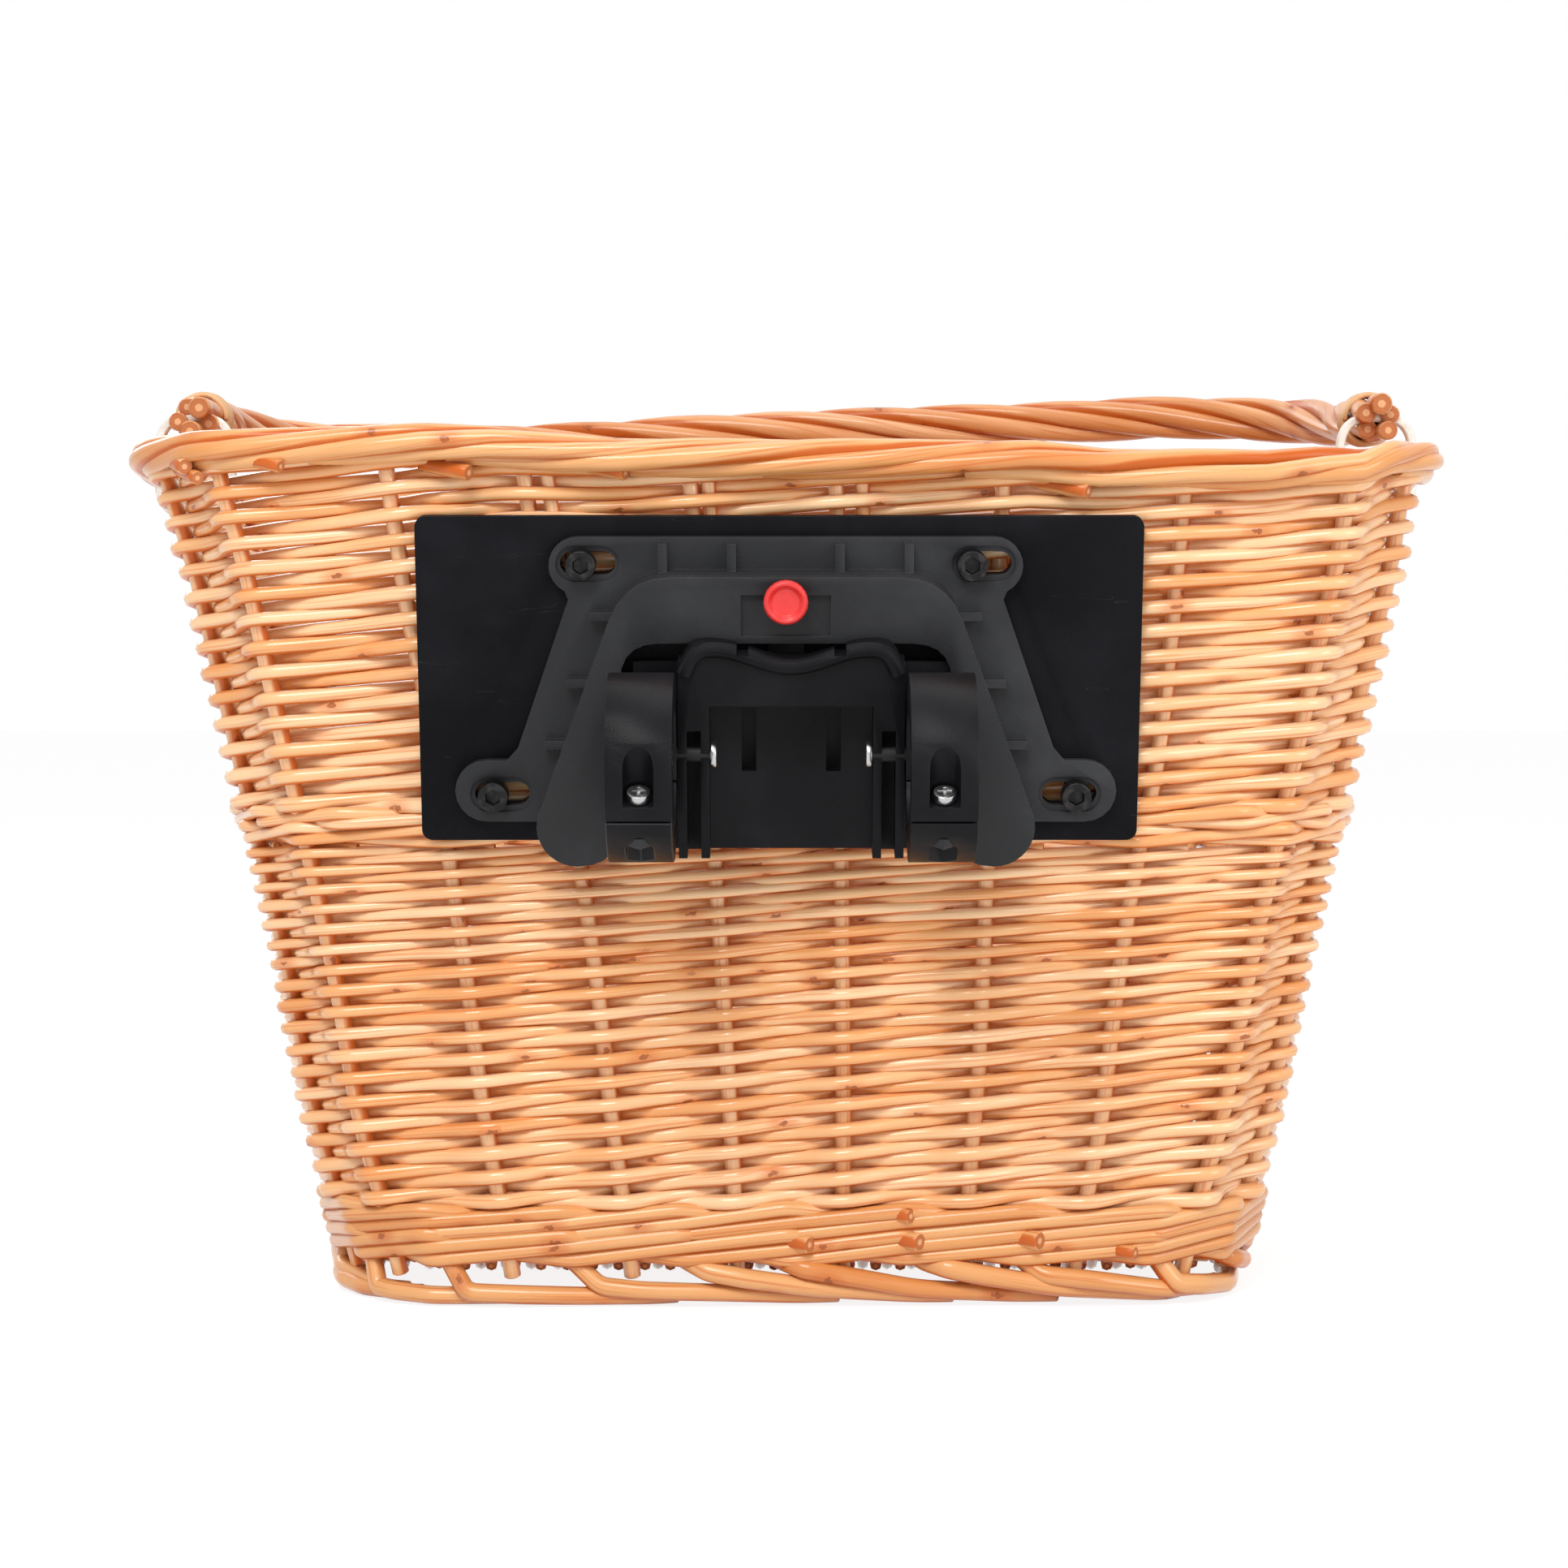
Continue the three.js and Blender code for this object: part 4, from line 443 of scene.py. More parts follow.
foot_rods = bent(foot_corners, foot_out, foot_thick, give=0.22,
                 offsets=(-0.5, -0.35, -0.22, -0.14, -0.07, 0.0, 0.07, 0.14, 0.22, 0.35))
foot = put_rods("foot_border_rods", [tubes(*foot_rods, rng.random(STAKES), 12)], border_willow)
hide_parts("foot_border")
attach(foot, "basket")


# Bottom wale. Four thick rods are twisted round the stakes like a rope, two turns high, each passing in
# front of three stakes and behind one. Their thick ends are cut off and stick out a little.
def waling(rng, start, strands, z, lift, reach, radius):
    """Rods of a wale, once round. At each stake a rod of n lies in front, except at every n-th, where it lies
    behind; it goes up by lift while it is in front and comes down behind."""
    count = np.arange(-1, STAKES + 2)[None]
    part = (count - np.arange(strands)[:, None]) % strands
    behind = part == strands - 1
    inset = WALL_DEPTH / 2 + np.where(behind, reach, -reach + 0.5 * (part == 0))
    inset = inset + rng.normal(0, 0.2, behind.shape)
    height = z + lift * np.where(behind, 0.0, 2 * part / (strands - 2) - 1)
    height = height + rng.normal(0, 0.25, behind.shape)
    corners, out = wall_point(start + count, height, inset)
    thick = radius * (1 + rng.normal(0, 0.05, behind.shape))
    return tubes(*bent(corners, out, thick), rng.random(strands), 10)


def stubs(rng, places, lean, radius):
    """Short sawn ends, each at a stake number, height and inset and with a thickness of its own. Each starts
    inside the wall and leans out of it, to the right and a little down."""
    groups = []
    for number, z, inset, thick in places:
        point, out = (value[0] for value in wall_point(np.array([number]), z, inset))
        right = np.array([-out[1], out[0], 0.0])
        way = lean[0] * right + lean[1] * out + lean[2] * up
        way = way / np.linalg.norm(way)
        path = (point + way * np.linspace(-16, 0, 6)[:, None])[None]
        groups.append(tubes(path, np.broadcast_to(up, path.shape), radius * thick, rng.random(1), 12))
    return groups


rng = np.random.default_rng(14)
wale_stubs = [(2.68, 19.6, -1.5, 1.0), (3.61, 20.4, -1.5, 1.1), (4.63, 20.8, -1.4, 1.1),
              (3.53, 28.2, -1.0, 0.9), (5.3, 17.0, -1.0, 0.8), (10.2, 20.0, -1.5, 1.0),
              (16.4, 20.8, -1.4, 1.0), (23.3, 20.0, -1.5, 1.0)]
bottom_wale = put_rods("bottom_wale_rods", [
    waling(rng, 17.5, 4, 18.2, 3.9, 4.1, 2.4), waling(rng, 20.5, 4, 25.8, 3.8, 4.1, 2.3),
    *stubs(rng, wale_stubs, (0.75, 0.62, -0.05), 2.5)], border_willow)
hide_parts("bottom_wale")
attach(bottom_wale, "basket")

# Lower weave. Twenty-eight tapering rods start thick at the bottom, one at each stake, and each goes in front
# of one stake and behind the next while it climbs one row a stake, so the rows get finer upwards.
RIM_HALF_Y = 132.8


def rim_lift(point):
    """How far the plaited rim lies above its mean height. It is uneven along the side with the bracket, with
    straight lines between places along X, and this fades to nothing with the square of the way across."""
    near = np.clip((BASKET_Y - point[..., 1]) / RIM_HALF_Y, 0, 1) ** 2
    places = [-174, -157, -130, -100, -82, -64, -46, 0, 68, 88, 115, 133, 148, 160, 169, 181]
    lifts = [3.8, 2.9, 3.4, 4.1, 3.4, 1.5, 0.0, -0.4, -0.6, -3.0, -3.0, -3.6, -2.5, -2.5, 1.0, 2.6]
    return near * np.interp(point[..., 0], places, lifts)


def randing(rng, bottom, top, rows, taper, thick, more=0, lift=0.0):
    """Rods of a band: at stake number s, rod k is in row s - k and stands out by reach in even rows and back
    by reach in odd ones. Between stakes, b bays from the nearest, it stands out by reach cos(pi b) to the
    power 2.2 near the first and back by the power 4.5 near the second, so it dives close to the stake. A row
    is as high as half its pitch and the pitches below it add up to, and the pitch changes evenly; more rows
    may follow above the band. Lift shares out the rim's unevenness over it."""
    reach = 4.1
    row = np.arange(-2, rows + more + 1)[None]
    middle = np.clip(row + 0.5, 0.2, rows + more - 0.6)
    share = (middle + (taper - 1) * middle ** 2 / (2 * rows)) / (rows * (1 + taper) / 2)
    number = np.arange(STAKES)[:, None] + row
    z = bottom + (top - bottom) * share + rng.normal(0, 0.22, number.shape)
    front = np.where(row % 2 == 0, 1.0, -1.0)
    stands = front * reach + rng.normal(0, 0.18, number.shape)
    corners, out = wall_point(number, z, WALL_DEPTH / 2)
    size = thick * (1 + (taper - 1) * middle / rows) * (1 + wander(rng, number.shape, 0.07, 9))
    bays = np.array([-0.5, -0.36, -0.24, -0.14, -0.07, 0.0, 0.07, 0.14, 0.24, 0.36])
    dive = np.cos(math.pi * bays) ** np.where(front > 0, 2.2, 4.5)[..., None]
    stands = (stands[..., None] * dive)[:, 1:-1].reshape(len(stands), -1)
    path, out, size = bent(corners, out, size, bays)
    path, out, size = (part[:, 4:] for part in (path + out * stands[..., None], out, size))
    path[..., 2] += lift * (path[..., 2] - bottom) / (top - bottom) * rim_lift(path)
    return tubes(path, out, size, rng.random(STAKES))


rng = np.random.default_rng(15)
lower_weave = put_rods("lower_weave_rods", [randing(rng, 30.0, 138.0, 34, 0.66, 2.3)], weave_willow)
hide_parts("lower_weave")
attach(lower_weave, "basket")

# Middle wale. A rope-like line of three rods, two turns high, that locks the fine tips of the lower weave.
# It is woven like the bottom wale, from thinner rods.
rng = np.random.default_rng(16)
middle_wale = put_rods("middle_wale_rods", [
    waling(rng, 18.0, 3, 140.3, 1.9, 4.0, 1.8), waling(rng, 19.5, 3, 145.0, 1.9, 4.0, 1.85)], weave_willow)
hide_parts("middle_wale")
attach(middle_wale, "basket")

# Upper weave. A second set of twenty-eight rods, woven like the lower one; its last rows follow the rim's
# unevenness on the side with the bracket.
rng = np.random.default_rng(17)
upper_weave = put_rods("upper_weave_rods", [randing(rng, 147.0, 239.2, 26, 0.9, 2.27, 3, 1.0)], weave_willow)
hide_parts("upper_weave")
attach(upper_weave, "basket")

# Rim. The stakes' upper ends are bent down one after another and plaited: each rod rises from the outside
# low edge over the top to the inside while it passes five stakes. Trimmed ends show under it.
rng = np.random.default_rng(18)
RIM_Z = 246.0
row = np.arange(-1, 6)[None]
each = (STAKES, row.size)
number = np.arange(STAKES)[:, None] + row + rng.normal(0, 0.08, (STAKES, 1))
roll = np.radians(-88 + 71 * row + rng.normal(0, 5, each))
wide = 4.7 + rng.normal(0, 0.3, each)
rim_corners, rim_out = wall_point(number, TOP["z"], -0.8 - wide * np.cos(roll))
rim_corners[..., 2] = RIM_Z + (3.35 + rng.normal(0, 0.25, each)) * np.sin(roll)
rim_out = rim_out * np.cos(roll)[..., None] + up * np.sin(roll)[..., None]
rim_thick = 2.65 * (1 - 0.12 * np.clip(row, 0, 5) / 5) * (1 + rng.normal(0, 0.06, (STAKES, 1)))
rim_rods = bent(rim_corners, rim_out, rim_thick, give=0.3,
                offsets=(-0.5, -0.4, -0.3, -0.2, -0.1, 0.0, 0.1, 0.2, 0.3, 0.4))
rim_rods[0][..., 2] += rim_lift(rim_rods[0])
rim_stubs = [(27.72, 243.3, -1.8, 0.8), (0.6, 241.6, -1.8, 1.0), (1.62, 241.6, -1.8, 0.95),
             (4.45, 236.6, -1.8, 1.0), (26.85, 243.8, -2.5, 1.0), (26.95, 240.6, -2.0, 0.85),
             (8.6, 239.3, -1.8, 1.0), (10.6, 239.5, -1.8, 0.9), (13.6, 240.5, -1.8, 1.0),
             (16.5, 239.0, -1.8, 1.0), (18.6, 239.4, -1.8, 0.9), (23.5, 239.2, -1.8, 1.0)]
rim = put_rods("rim_border_rods", [
    tubes(*(part[:, 1:-1] for part in rim_rods), rng.random(STAKES), 12),
    *stubs(rng, rim_stubs, (0.85, 0.5, -0.2), 2.3)], border_willow)
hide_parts("rim_border")
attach(rim, "basket")

# Handle. Five brown willow rods twisted into one hoop, which lies folded over the far edge. Its sawn ends
# stick out past the hinge loops.
PIVOT_Z, RIM_HALF_X = 266.8, 185.8
HANDLE_RISE = [0, 2, 2, 0.9, 0, 1.2, 5.2, 7.6, 10, 8.5, 4.5, 2, 0]
HOOP_POINTS, STRANDS, TWIST_LENGTH = 330, 5, 170.0


def handle_line(count):
    """The hoop's centre line: a curve through thirteen points whose parts are weighted by the square root of
    the points' distances, read at even steps along its length."""
    far, near, corner = 132.0, 82.0, 50.0
    inner, diagonal = RIM_HALF_X - corner, corner * math.sqrt(0.5)
    half = [(RIM_HALF_X, 0), (RIM_HALF_X, near / 2), (RIM_HALF_X, near), (inner + diagonal, near + diagonal),
            (inner, far), (inner / 2, far)]
    plan = [(-px, py) for px, py in half] + [(0, far)] + half[::-1]
    p = np.array([(px, py + BASKET_Y, PIVOT_Z + rise) for (px, py), rise in zip(plan, HANDLE_RISE)])
    p = np.concatenate([[2 * p[0] - p[1]], p, [2 * p[-1] - p[-2]]])
    t = np.linspace(0, 1, 40, endpoint=False)[:, None]
    parts = []
    for p0, p1, p2, p3 in zip(p, p[1:], p[2:], p[3:]):
        d0, d1, d2 = (math.sqrt(np.linalg.norm(b - a)) for a, b in ((p0, p1), (p1, p2), (p2, p3)))
        m1 = ((p1 - p0) / d0 - (p2 - p0) / (d0 + d1) + (p2 - p1) / d1) * d1
        m2 = ((p2 - p1) / d1 - (p3 - p1) / (d1 + d2) + (p3 - p2) / d2) * d1
        parts.append(p1 + m1 * t + (3 * (p2 - p1) - 2 * m1 - m2) * t ** 2
                     + (2 * (p1 - p2) + m1 + m2) * t ** 3)
    line = np.concatenate(parts + [p[-2:-1]])
    run = np.concatenate([[0], np.cumsum(np.linalg.norm(np.diff(line, axis=0), axis=1))])
    even = np.linspace(0, run[-1], count)
    return np.stack([np.interp(even, run, line[:, i]) for i in range(3)], -1), run[-1]


rng = np.random.default_rng(19)
hoop, hoop_length = handle_line(HOOP_POINTS)
along = np.gradient(hoop, axis=0)
along /= np.linalg.norm(along, axis=1, keepdims=True)
level = np.cross(along, up)
level /= np.linalg.norm(level, axis=1, keepdims=True)
upright = np.cross(level, along)
distance = np.linspace(0, hoop_length, HOOP_POINTS)
twist = -2 * math.pi * (distance - hoop_length / 2) / TWIST_LENGTH
turn = twist[None] + 2 * math.pi * np.arange(STRANDS)[:, None] / STRANDS
out = np.cos(turn)[..., None] * level + np.sin(turn)[..., None] * upright
strand = hoop + (4.45 + wander(rng, turn.shape, 0.25, 14))[..., None] * out
strand_radius = np.array([3.3, 3.0, 3.25, 2.9, 3.15])[:, None] * (1 + wander(rng, turn.shape, 0.05, 9))
past = np.array([8.5, 2.5, 7.5, 1.5, 5.0])[:, None, None] * np.linspace(0.25, 1, 4)[:, None]
left_end, right_end = strand[:, :1] - along[0] * past[:, ::-1], strand[:, -1:] + along[-1] * past
strand = np.concatenate([left_end, strand, right_end], 1)
strand_radius = np.pad(strand_radius, ((0, 0), (4, 4)), mode="edge")
strand_out = np.pad(out, ((0, 0), (4, 4), (0, 0)), mode="edge")
handle_willow = willow("handle_willow", (0.76, 0.39, 0.19), (0.68, 0.29, 0.105), (0.53, 0.175, 0.046),
                       gloss=0.5, coat=0.5)
handle = put_rods("handle_rods", [tubes(strand, strand_out, strand_radius, rng.random(STRANDS), 16)],
                  handle_willow)
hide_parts("handle_hoop")
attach(handle, "handle")

# Bindings. Flat split cane wound about eight times round each end of the handle, close to the pivots. It dips
# a little between the handle's five rods.
rng = np.random.default_rng(20)
BINDING_START, BINDING_LENGTH, WINDS, WIND_POINTS = 11.5, 13.0, 8, 28
cane = Finish("split_cane")
cane_fibre = cane.noise(cane.stretched(cane.rod_map(), 40.0, 14.0, 1.0), 1.0, 3.0)
cane_patch = cane.noise(cane.place(), 160.0)
cane_base = cane.mix(cane.step(cane_fibre, 0.3, 0.75), (0.80, 0.50, 0.25), (0.58, 0.28, 0.11))
cane_base = cane.mix(cane.step(cane_patch, 0.5, 0.7) * 0.5, cane_base, (0.80, 0.52, 0.28))
cane_material = cane.surface(Base_Color=cane_base, Roughness=0.55, Coat_Weight=0.2, Coat_Roughness=0.3,
                             Normal=cane.bump(cane_fibre, 0.6, 0.0003))
for name, from_end in (("left", False), ("right", True)):
    travel = BINDING_START + BINDING_LENGTH * np.linspace(0.06, 0.94, WINDS * WIND_POINTS)
    where = hoop_length - travel if from_end else travel
    centre, side, top = (np.stack([np.interp(where, distance, line[:, i]) for i in range(3)], -1)
                         for line in (hoop, level, upright))
    turn = np.linspace(0, 2 * math.pi * WINDS, WINDS * WIND_POINTS)
    wound = np.cos(turn)[:, None] * side + np.sin(turn)[:, None] * top
    path = (centre + (7.75 + 0.12 * np.sin(STRANDS * turn + 1))[:, None] * wound)[None]
    binding = put_rods("cane_binding_" + name, [tubes(path, wound[None], 0.92, rng.random(1))], cane_material)
    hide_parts("handle_binding_" + name)
    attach(binding, "handle")

# Hinge loops. A ribbed off-white plastic band is passed through the eye in the handle's end and under the
# rim, and closed on itself at each side.
LOOP_POINTS, RIBS, RIB_DEPTH = 96, 3, 0.25


def superellipse(count, power):
    """Points once round a box with round corners: |cos a|^power and |sin a|^power with their old signs."""
    angle = np.linspace(0, 2 * math.pi, count, endpoint=False)
    return (np.sign(wave) * np.abs(wave) ** power for wave in (np.cos(angle), np.sin(angle)))


def closed_band(name, line, across, half_width, half_thick, material):
    """A closed band along a line. Its section is a superellipse of power a half, and fine ribs run along its
    faces: w half widths from the middle it is thinner by RIB_DEPTH (1 - cos(2 pi RIBS w)) / 2 on each."""
    along = np.roll(line, -1, 0) - np.roll(line, 1, 0)
    along /= np.linalg.norm(along, axis=1, keepdims=True)
    normal = np.cross(along, across)
    wide, thick = superellipse(40, 0.5)
    groove = (0.5 - 0.5 * np.cos(2 * math.pi * RIBS * wide)) * (np.abs(wide) < 0.9)
    ribbed = thick * (half_thick - RIB_DEPTH * groove)
    ring = wide[:, None] * half_width * across + ribbed[:, None] * normal[:, None]
    points = line[:, None] + ring
    count, sides = points.shape[:2]
    i, j = np.arange(count)[:, None], np.arange(sides)[None]
    here, ahead, after = i * sides, (i + 1) % count * sides, (j + 1) % sides
    faces = np.stack([here + j, ahead + j, ahead + after, here + after], -1).reshape(-1, 4)
    mesh = bpy.data.meshes.new(name)
    mesh.from_pydata((points.reshape(-1, 3) * MM).tolist(), [], faces.tolist())
    bm = bmesh.new()
    bm.from_mesh(mesh)
    bmesh.ops.recalc_face_normals(bm, faces=bm.faces)
    bm.to_mesh(mesh)
    bm.free()
    mesh.shade_smooth()
    return put(name, mesh, [material])


white = Finish("off_white_plastic")
cloud = white.noise(white.place(), 220.0, 3.0)
white_base = white.mix(white.step(cloud, 0.35, 0.7), (0.86, 0.83, 0.77), (0.70, 0.66, 0.58))
white_material = white.surface(Base_Color=white_base, Roughness=0.42, Subsurface_Weight=0.12,
                               Subsurface_Scale=0.002, Normal=white.bump(cloud, 0.25, 0.0003))
for name in ("left", "right"):
    low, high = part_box("hinge_loop_" + name)
    middle = (low + high) / 2 / MM
    half_x, half_z = 11.5, (high.z - low.z) / 2 / MM - 1.6
    loop_x, loop_z = superellipse(LOOP_POINTS, 0.62)
    loop_y = np.full(LOOP_POINTS, middle.y)
    line = np.stack([middle.x + loop_x * half_x, loop_y, middle.z + loop_z * half_z], -1)
    loop = closed_band("hinge_band_" + name, line, np.array([0.0, 1.0, 0.0]), 1.85, 1.4, white_material)
    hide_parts("hinge_loop_" + name)
    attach(loop, "basket")


# Mounting plate. A flat sheet of matt black plastic, cut out by a tool that left its edge bright, with dust
# and hair scratches on its face.
def refined(node, name, material, worn, width, angle=32.0, segments=2):
    """A finer copy of a CAD node: its doubles merged, its flat faces joined, and its edges rounded by a bevel
    whose faces have the worn finish."""
    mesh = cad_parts[node].data.copy()
    mesh.name = name
    bm = bmesh.new()
    bm.from_mesh(mesh)
    bmesh.ops.remove_doubles(bm, verts=bm.verts, dist=2e-6)
    bmesh.ops.dissolve_limit(bm, angle_limit=math.radians(1.0), verts=bm.verts, edges=bm.edges)
    bm.to_mesh(mesh)
    bm.free()
    mesh.materials.clear()
    mesh.polygons.foreach_set("material_index", np.zeros(len(mesh.polygons), np.int32))
    mesh.shade_smooth()
    piece = put(name, mesh, [material, worn])
    bevel = piece.modifiers.new("edges", "BEVEL")
    bevel.limit_method, bevel.angle_limit = "ANGLE", math.radians(angle)
    bevel.width, bevel.segments, bevel.material = width * MM, segments, 1
    bevel.harden_normals = True
    bevel.loop_slide = False
    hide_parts(node)
    return piece


def black_plastic(name, colour, roughness, grain, dust, sheen, scratch=0.0):
    """Black plastic: a fine moulded grain, paler clouds where it has been rubbed, and pinpoints of dust."""
    finish = Finish(name)
    place = finish.place()
    fine = finish.noise(place, 1500.0)
    cloud = finish.noise(place, 26.0, 4.0, 0.6)
    speck = finish.node("ShaderNodeTexVoronoi", {}, {"Vector": place, "Scale": 330.0})
    chance = finish.step(speck["Color"], 0.94, 0.97)
    dot = finish.step(speck["Distance"] * -1.0, -0.13, -0.06) * chance * dust
    paler = tuple(channel * 1.9 + 0.006 for channel in colour)
    base = finish.mix(finish.step(cloud, 0.42, 0.75) * 0.55, colour, paler)
    base = finish.mix(dot, base, (0.30, 0.29, 0.27))
    if scratch:
        hair = finish.noise(finish.stretched(place, 5.0, 60.0, 60.0), 6.0, 1.0)
        line = finish.step(hair, 0.6985, 0.7) * finish.step(hair * -1.0, -0.7035, -0.702) * scratch
        base = finish.mix(line, base, (0.08, 0.08, 0.08))
    return finish.surface(Base_Color=base, Roughness=cloud * 0.2 + (roughness - 0.1),
                          Specular_IOR_Level=sheen, Normal=finish.bump(fine + cloud * 0.6, grain, 0.0002))


sheet_black = black_plastic("sheet_black", (0.0030, 0.0030, 0.0046), 0.6, 0.25, 0.8, 0.1, 0.25)
sheet_edge = black_plastic("sheet_edge", (0.04, 0.04, 0.04), 0.6, 0.5, 0.5, 0.2)
plate = refined("mounting_plate", "plate", sheet_black, sheet_edge, 0.3)
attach(plate, "basket")

# Adapter. A ribbed glass-filled moulding, bolted through the plate: a flange with four slotted ears, and a
# raised horseshoe that the bracket's tongue slides into.
moulded_black = black_plastic("moulded_black", (0.021, 0.0215, 0.0235), 0.5, 0.35, 0.5, 0.22)
moulded_edge = black_plastic("moulded_edge", (0.085, 0.085, 0.087), 0.4, 0.35, 0.3, 0.35)
adapter = refined("adapter_plate", "adapter", moulded_black, moulded_edge, 0.4)
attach(adapter, "basket")

# Plate bolts. Black oxide socket screws pass through the ears, the plate and the wall to bright washers and
# nuts inside the basket.
oxide = Finish("black_oxide")
oxide_cloud = oxide.noise(oxide.place(), 400.0, 3.0)
oxide_base = oxide.mix(oxide.step(oxide_cloud, 0.4, 0.7), (0.018, 0.018, 0.019), (0.045, 0.043, 0.042))
oxide_material = oxide.surface(Base_Color=oxide_base, Metallic=0.85, Roughness=oxide_cloud * 0.25 + 0.3)
zinc = Finish("zinc")
zinc_cloud = zinc.noise(zinc.place(), 700.0, 3.0)
zinc_base = zinc.mix(zinc_cloud, (0.62, 0.62, 0.62), (0.48, 0.48, 0.47))
zinc_material = zinc.surface(Base_Color=zinc_base, Metallic=1.0, Roughness=zinc_cloud * 0.2 + 0.2)
bolt_parts = {"plate_bolt": (oxide_material, "black_steel"), "plate_washer": (zinc_material, "zinc_steel"),
              "plate_nut": (zinc_material, "zinc_steel")}
for k in range(1, 5):
    for kind, (material, slot_name) in bolt_parts.items():
        piece = refined(f"{kind}_{k}", f"{kind}_{k}_fine", material, material, 0.3, 40.0)
        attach(piece, "basket")

# Release button and latch. A dished red button that presses the top of a springy black leaf; two small
# screws hold the leaf's foot to the flange, and the leaf bends from there up, so its tooth leaves the tongue.
red = Finish("red_plastic")
red_cloud = red.noise(red.place(), 500.0)
red_base = red.mix(red_cloud, (0.80, 0.035, 0.03), (0.66, 0.02, 0.02))
red_material = red.surface(Base_Color=red_base, Roughness=red_cloud * 0.15 + 0.3, Coat_Weight=0.2,
                           Coat_Roughness=0.2)
button = refined("release_button", "button", red_material, red_material, 0.4, 30.0, 3)
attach(button, "button")
leaf = refined("latch_leaf", "leaf", moulded_black, moulded_edge, 0.2)
leaf_points = np.empty(3 * len(leaf.data.vertices), np.float32)
leaf.data.vertices.foreach_get("co", leaf_points)
leaf_points = leaf_points.reshape(-1, 3).astype(float)
leaf_foot = leaf_points[leaf_points[:, 2].argmin()]
leaf_length = leaf_points[leaf_points[:, 2].argmax()] - leaf_foot
LEAF_HELD, LEAF_PRESSED, LEAF_CUTS = 0.14, 0.84, 13
bm = bmesh.new()
bm.from_mesh(leaf.data)
for share in np.linspace(LEAF_HELD, LEAF_PRESSED, LEAF_CUTS):
    bmesh.ops.bisect_plane(bm, geom=bm.verts[:] + bm.edges[:] + bm.faces[:],
                           plane_co=leaf_foot + leaf_length * share, plane_no=leaf_length)
bm.to_mesh(leaf.data)
bm.free()
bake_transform(leaf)
for name in ("left", "right"):
    screw = refined("latch_screw_" + name, "leaf_screw_" + name, zinc_material, zinc_material, 0.15, 40.0)
    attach(screw, "basket")

# Handlebar bracket. One moulding of a blacker plastic: a tongue that slides into the adapter, a hood with a
# wavy rolled lip, and two cheeks that carry the clamps.
bracket_black = black_plastic("bracket_black", (0.0046, 0.0044, 0.0056), 0.42, 0.3, 0.4, 0.12)
bracket_edge = black_plastic("bracket_edge", (0.016, 0.016, 0.018), 0.4, 0.3, 0.3, 0.2)
bracket = refined("handlebar_bracket", "bracket", bracket_black, bracket_edge, 0.4)
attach(bracket, "bracket")

# Handlebar clamps. On each side an arm and a cap close round the handlebar, pinched by a zinc cross-head
# screw in a pocket and a blackened nut; a second screw holds the arm: its head is zinc, its shank in the slit
# painted shade.
shank = Finish("screw_with_slit_shade")
across = shank.node("ShaderNodeSeparateXYZ", {}, {0: shank.place()})["X"]
from_middle = shank.calc("ABSOLUTE", across - 1.5 * MM)
# Painted shade: more than 22 mm either side of the middle, the shank is coloured near black and made rougher
# and less metallic, standing in for the slit's shadow.
slit_shade = shank.step(from_middle, 22.0 * MM, 22.3 * MM)
shank_base = shank.mix(slit_shade, (0.58, 0.58, 0.58), (0.012, 0.012, 0.013))
shank_material = shank.surface(Base_Color=shank_base, Metallic=1 - slit_shade, Roughness=slit_shade * 0.3 + 0.3)
clamp_finish = {"clamp_screw": zinc_material, "clamp_nut": moulded_black, "arm_screw": shank_material}
for name in ("left", "right"):
    for kind in ("clamp_arm", "clamp_cap"):
        piece = refined(f"{kind}_{name}", f"{kind}_{name}_fine", bracket_black, bracket_edge, 0.5, 28.0)
        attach(piece, "bracket")
    for kind, material in clamp_finish.items():
        piece = refined(f"{kind}_{name}", f"{kind}_{name}_fine", material, material, 0.25, 40.0)
        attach(piece, "bracket")


# Studio. A plain pale floor and a white surround, soft light from above in front and from both sides, and
# the camera where the photograph was taken, level with the bracket and a little over a metre away.
def seen(finish):
    """1 on rays from the camera and on those that metal or glass send on, so both show the background."""
    ray = finish.node("ShaderNodeLightPath")
    return ray["Is Camera Ray"] + ray["Is Glossy Ray"] + ray["Is Transmission Ray"]


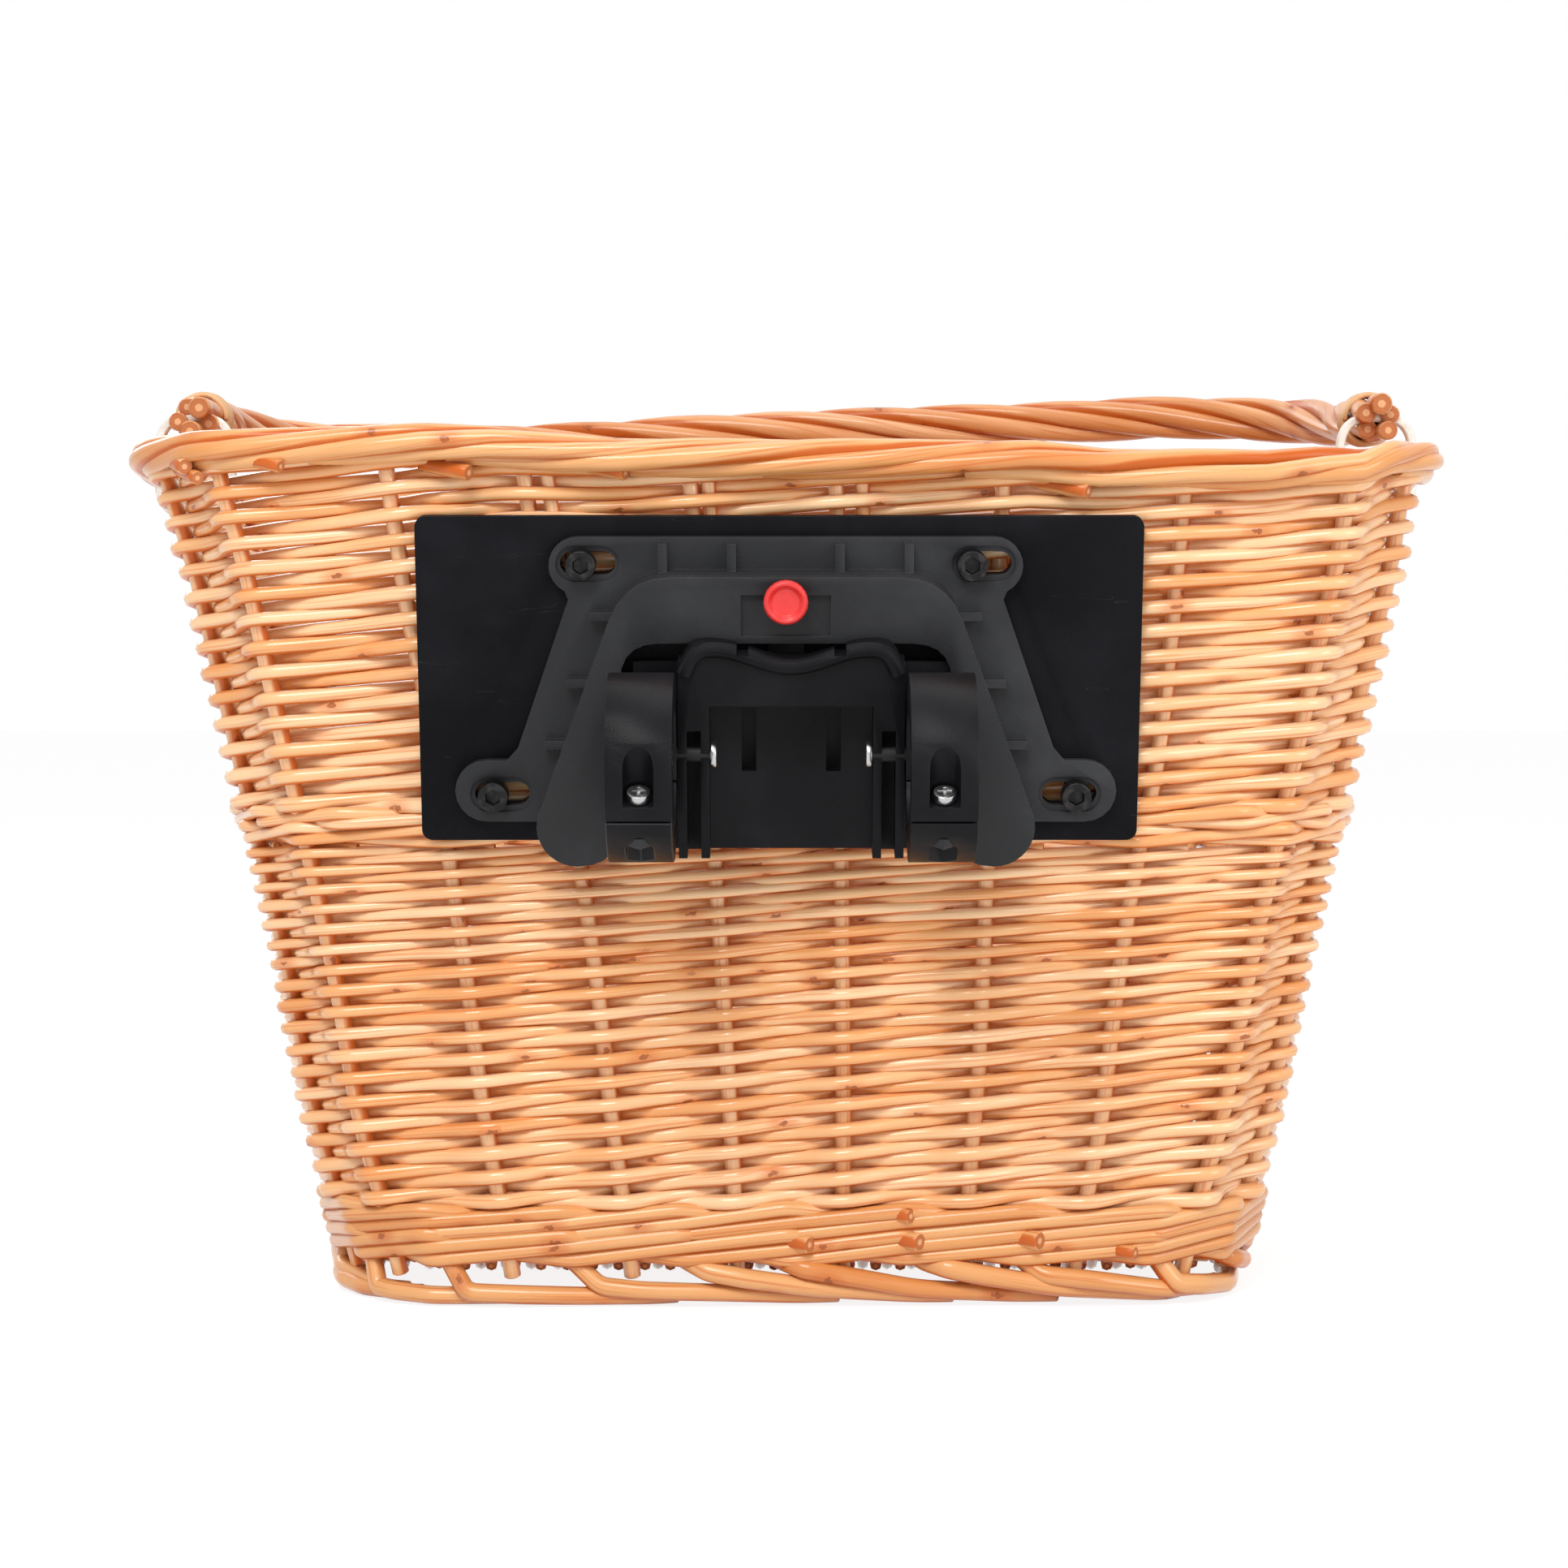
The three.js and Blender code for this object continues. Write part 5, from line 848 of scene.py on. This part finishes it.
floor_finish = Finish("studio_floor")
matt = floor_finish.node("ShaderNodeBsdfDiffuse", {}, {"Color": (0.86, 0.86, 0.86)})
glow = floor_finish.node("ShaderNodeEmission", {}, {"Color": (1.0, 1.0, 1.0), "Strength": 1.2})
mixed = floor_finish.node("ShaderNodeMixShader", {}, {0: seen(floor_finish) * 0.72, 1: matt, 2: glow})
floor_finish.node("ShaderNodeOutputMaterial", {}, {"Surface": mixed})
floor_mesh = bpy.data.meshes.new("floor")
floor_mesh.from_pydata([(-12, -12, 0), (12, -12, 0), (12, 12, 0), (-12, 12, 0)], [], [(0, 1, 2, 3)])
floor = put("floor", floor_mesh, [floor_finish.block])
floor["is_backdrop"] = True
surround = Finish("studio", bpy.data.worlds)
background = surround.node("ShaderNodeBackground", {}, {"Color": (1.0, 1.0, 1.0),
                                                        "Strength": seen(surround) * 0.5 + 0.5})
surround.node("ShaderNodeOutputWorld", {}, {"Surface": background})
bpy.context.scene.world = surround.block


def lamp(name, place, size, watts):
    """A rectangular lamp of this size in metres, turned to the middle of the basket."""
    light = bpy.data.lights.new(name, "AREA")
    light.shape, light.size, light.size_y, light.energy = "RECTANGLE", *size, watts
    holder = bpy.data.objects.new(name, light)
    holder.location = place
    middle = Vector((0, 0, 0.13))
    holder.rotation_euler = (middle - Vector(place)).to_track_quat("-Z", "Y").to_euler()
    bpy.context.scene.collection.objects.link(holder)


lamp("key", (-0.4, -1.8, 1.7), (1.1, 0.8), 33)
lamp("fill", (1.5, -1.5, 0.8), (1.0, 1.0), 13)
lamp("top", (0.1, 0.3, 1.8), (1.4, 1.4), 9)
lamp("back", (-0.9, 1.6, 1.1), (1.2, 0.8), 8)
FOCAL_PIXELS, PHOTO_PIXELS, SENSOR = 4256, 1932, 36.0
camera = bpy.data.objects.new("camera", bpy.data.cameras.new("camera"))
camera.data.sensor_width, camera.data.lens = SENSOR, FOCAL_PIXELS / PHOTO_PIXELS * SENSOR
camera.data.clip_start, camera.data.clip_end = 0.05, 60
camera.location = (-0.0005, -1.0663, 0.184)
camera.rotation_euler = (math.radians(88.3), 0, 0)
bpy.context.scene.collection.objects.link(camera)
bpy.context.scene.camera = camera
bpy.context.scene.view_settings.view_transform = "Standard"

low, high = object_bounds()
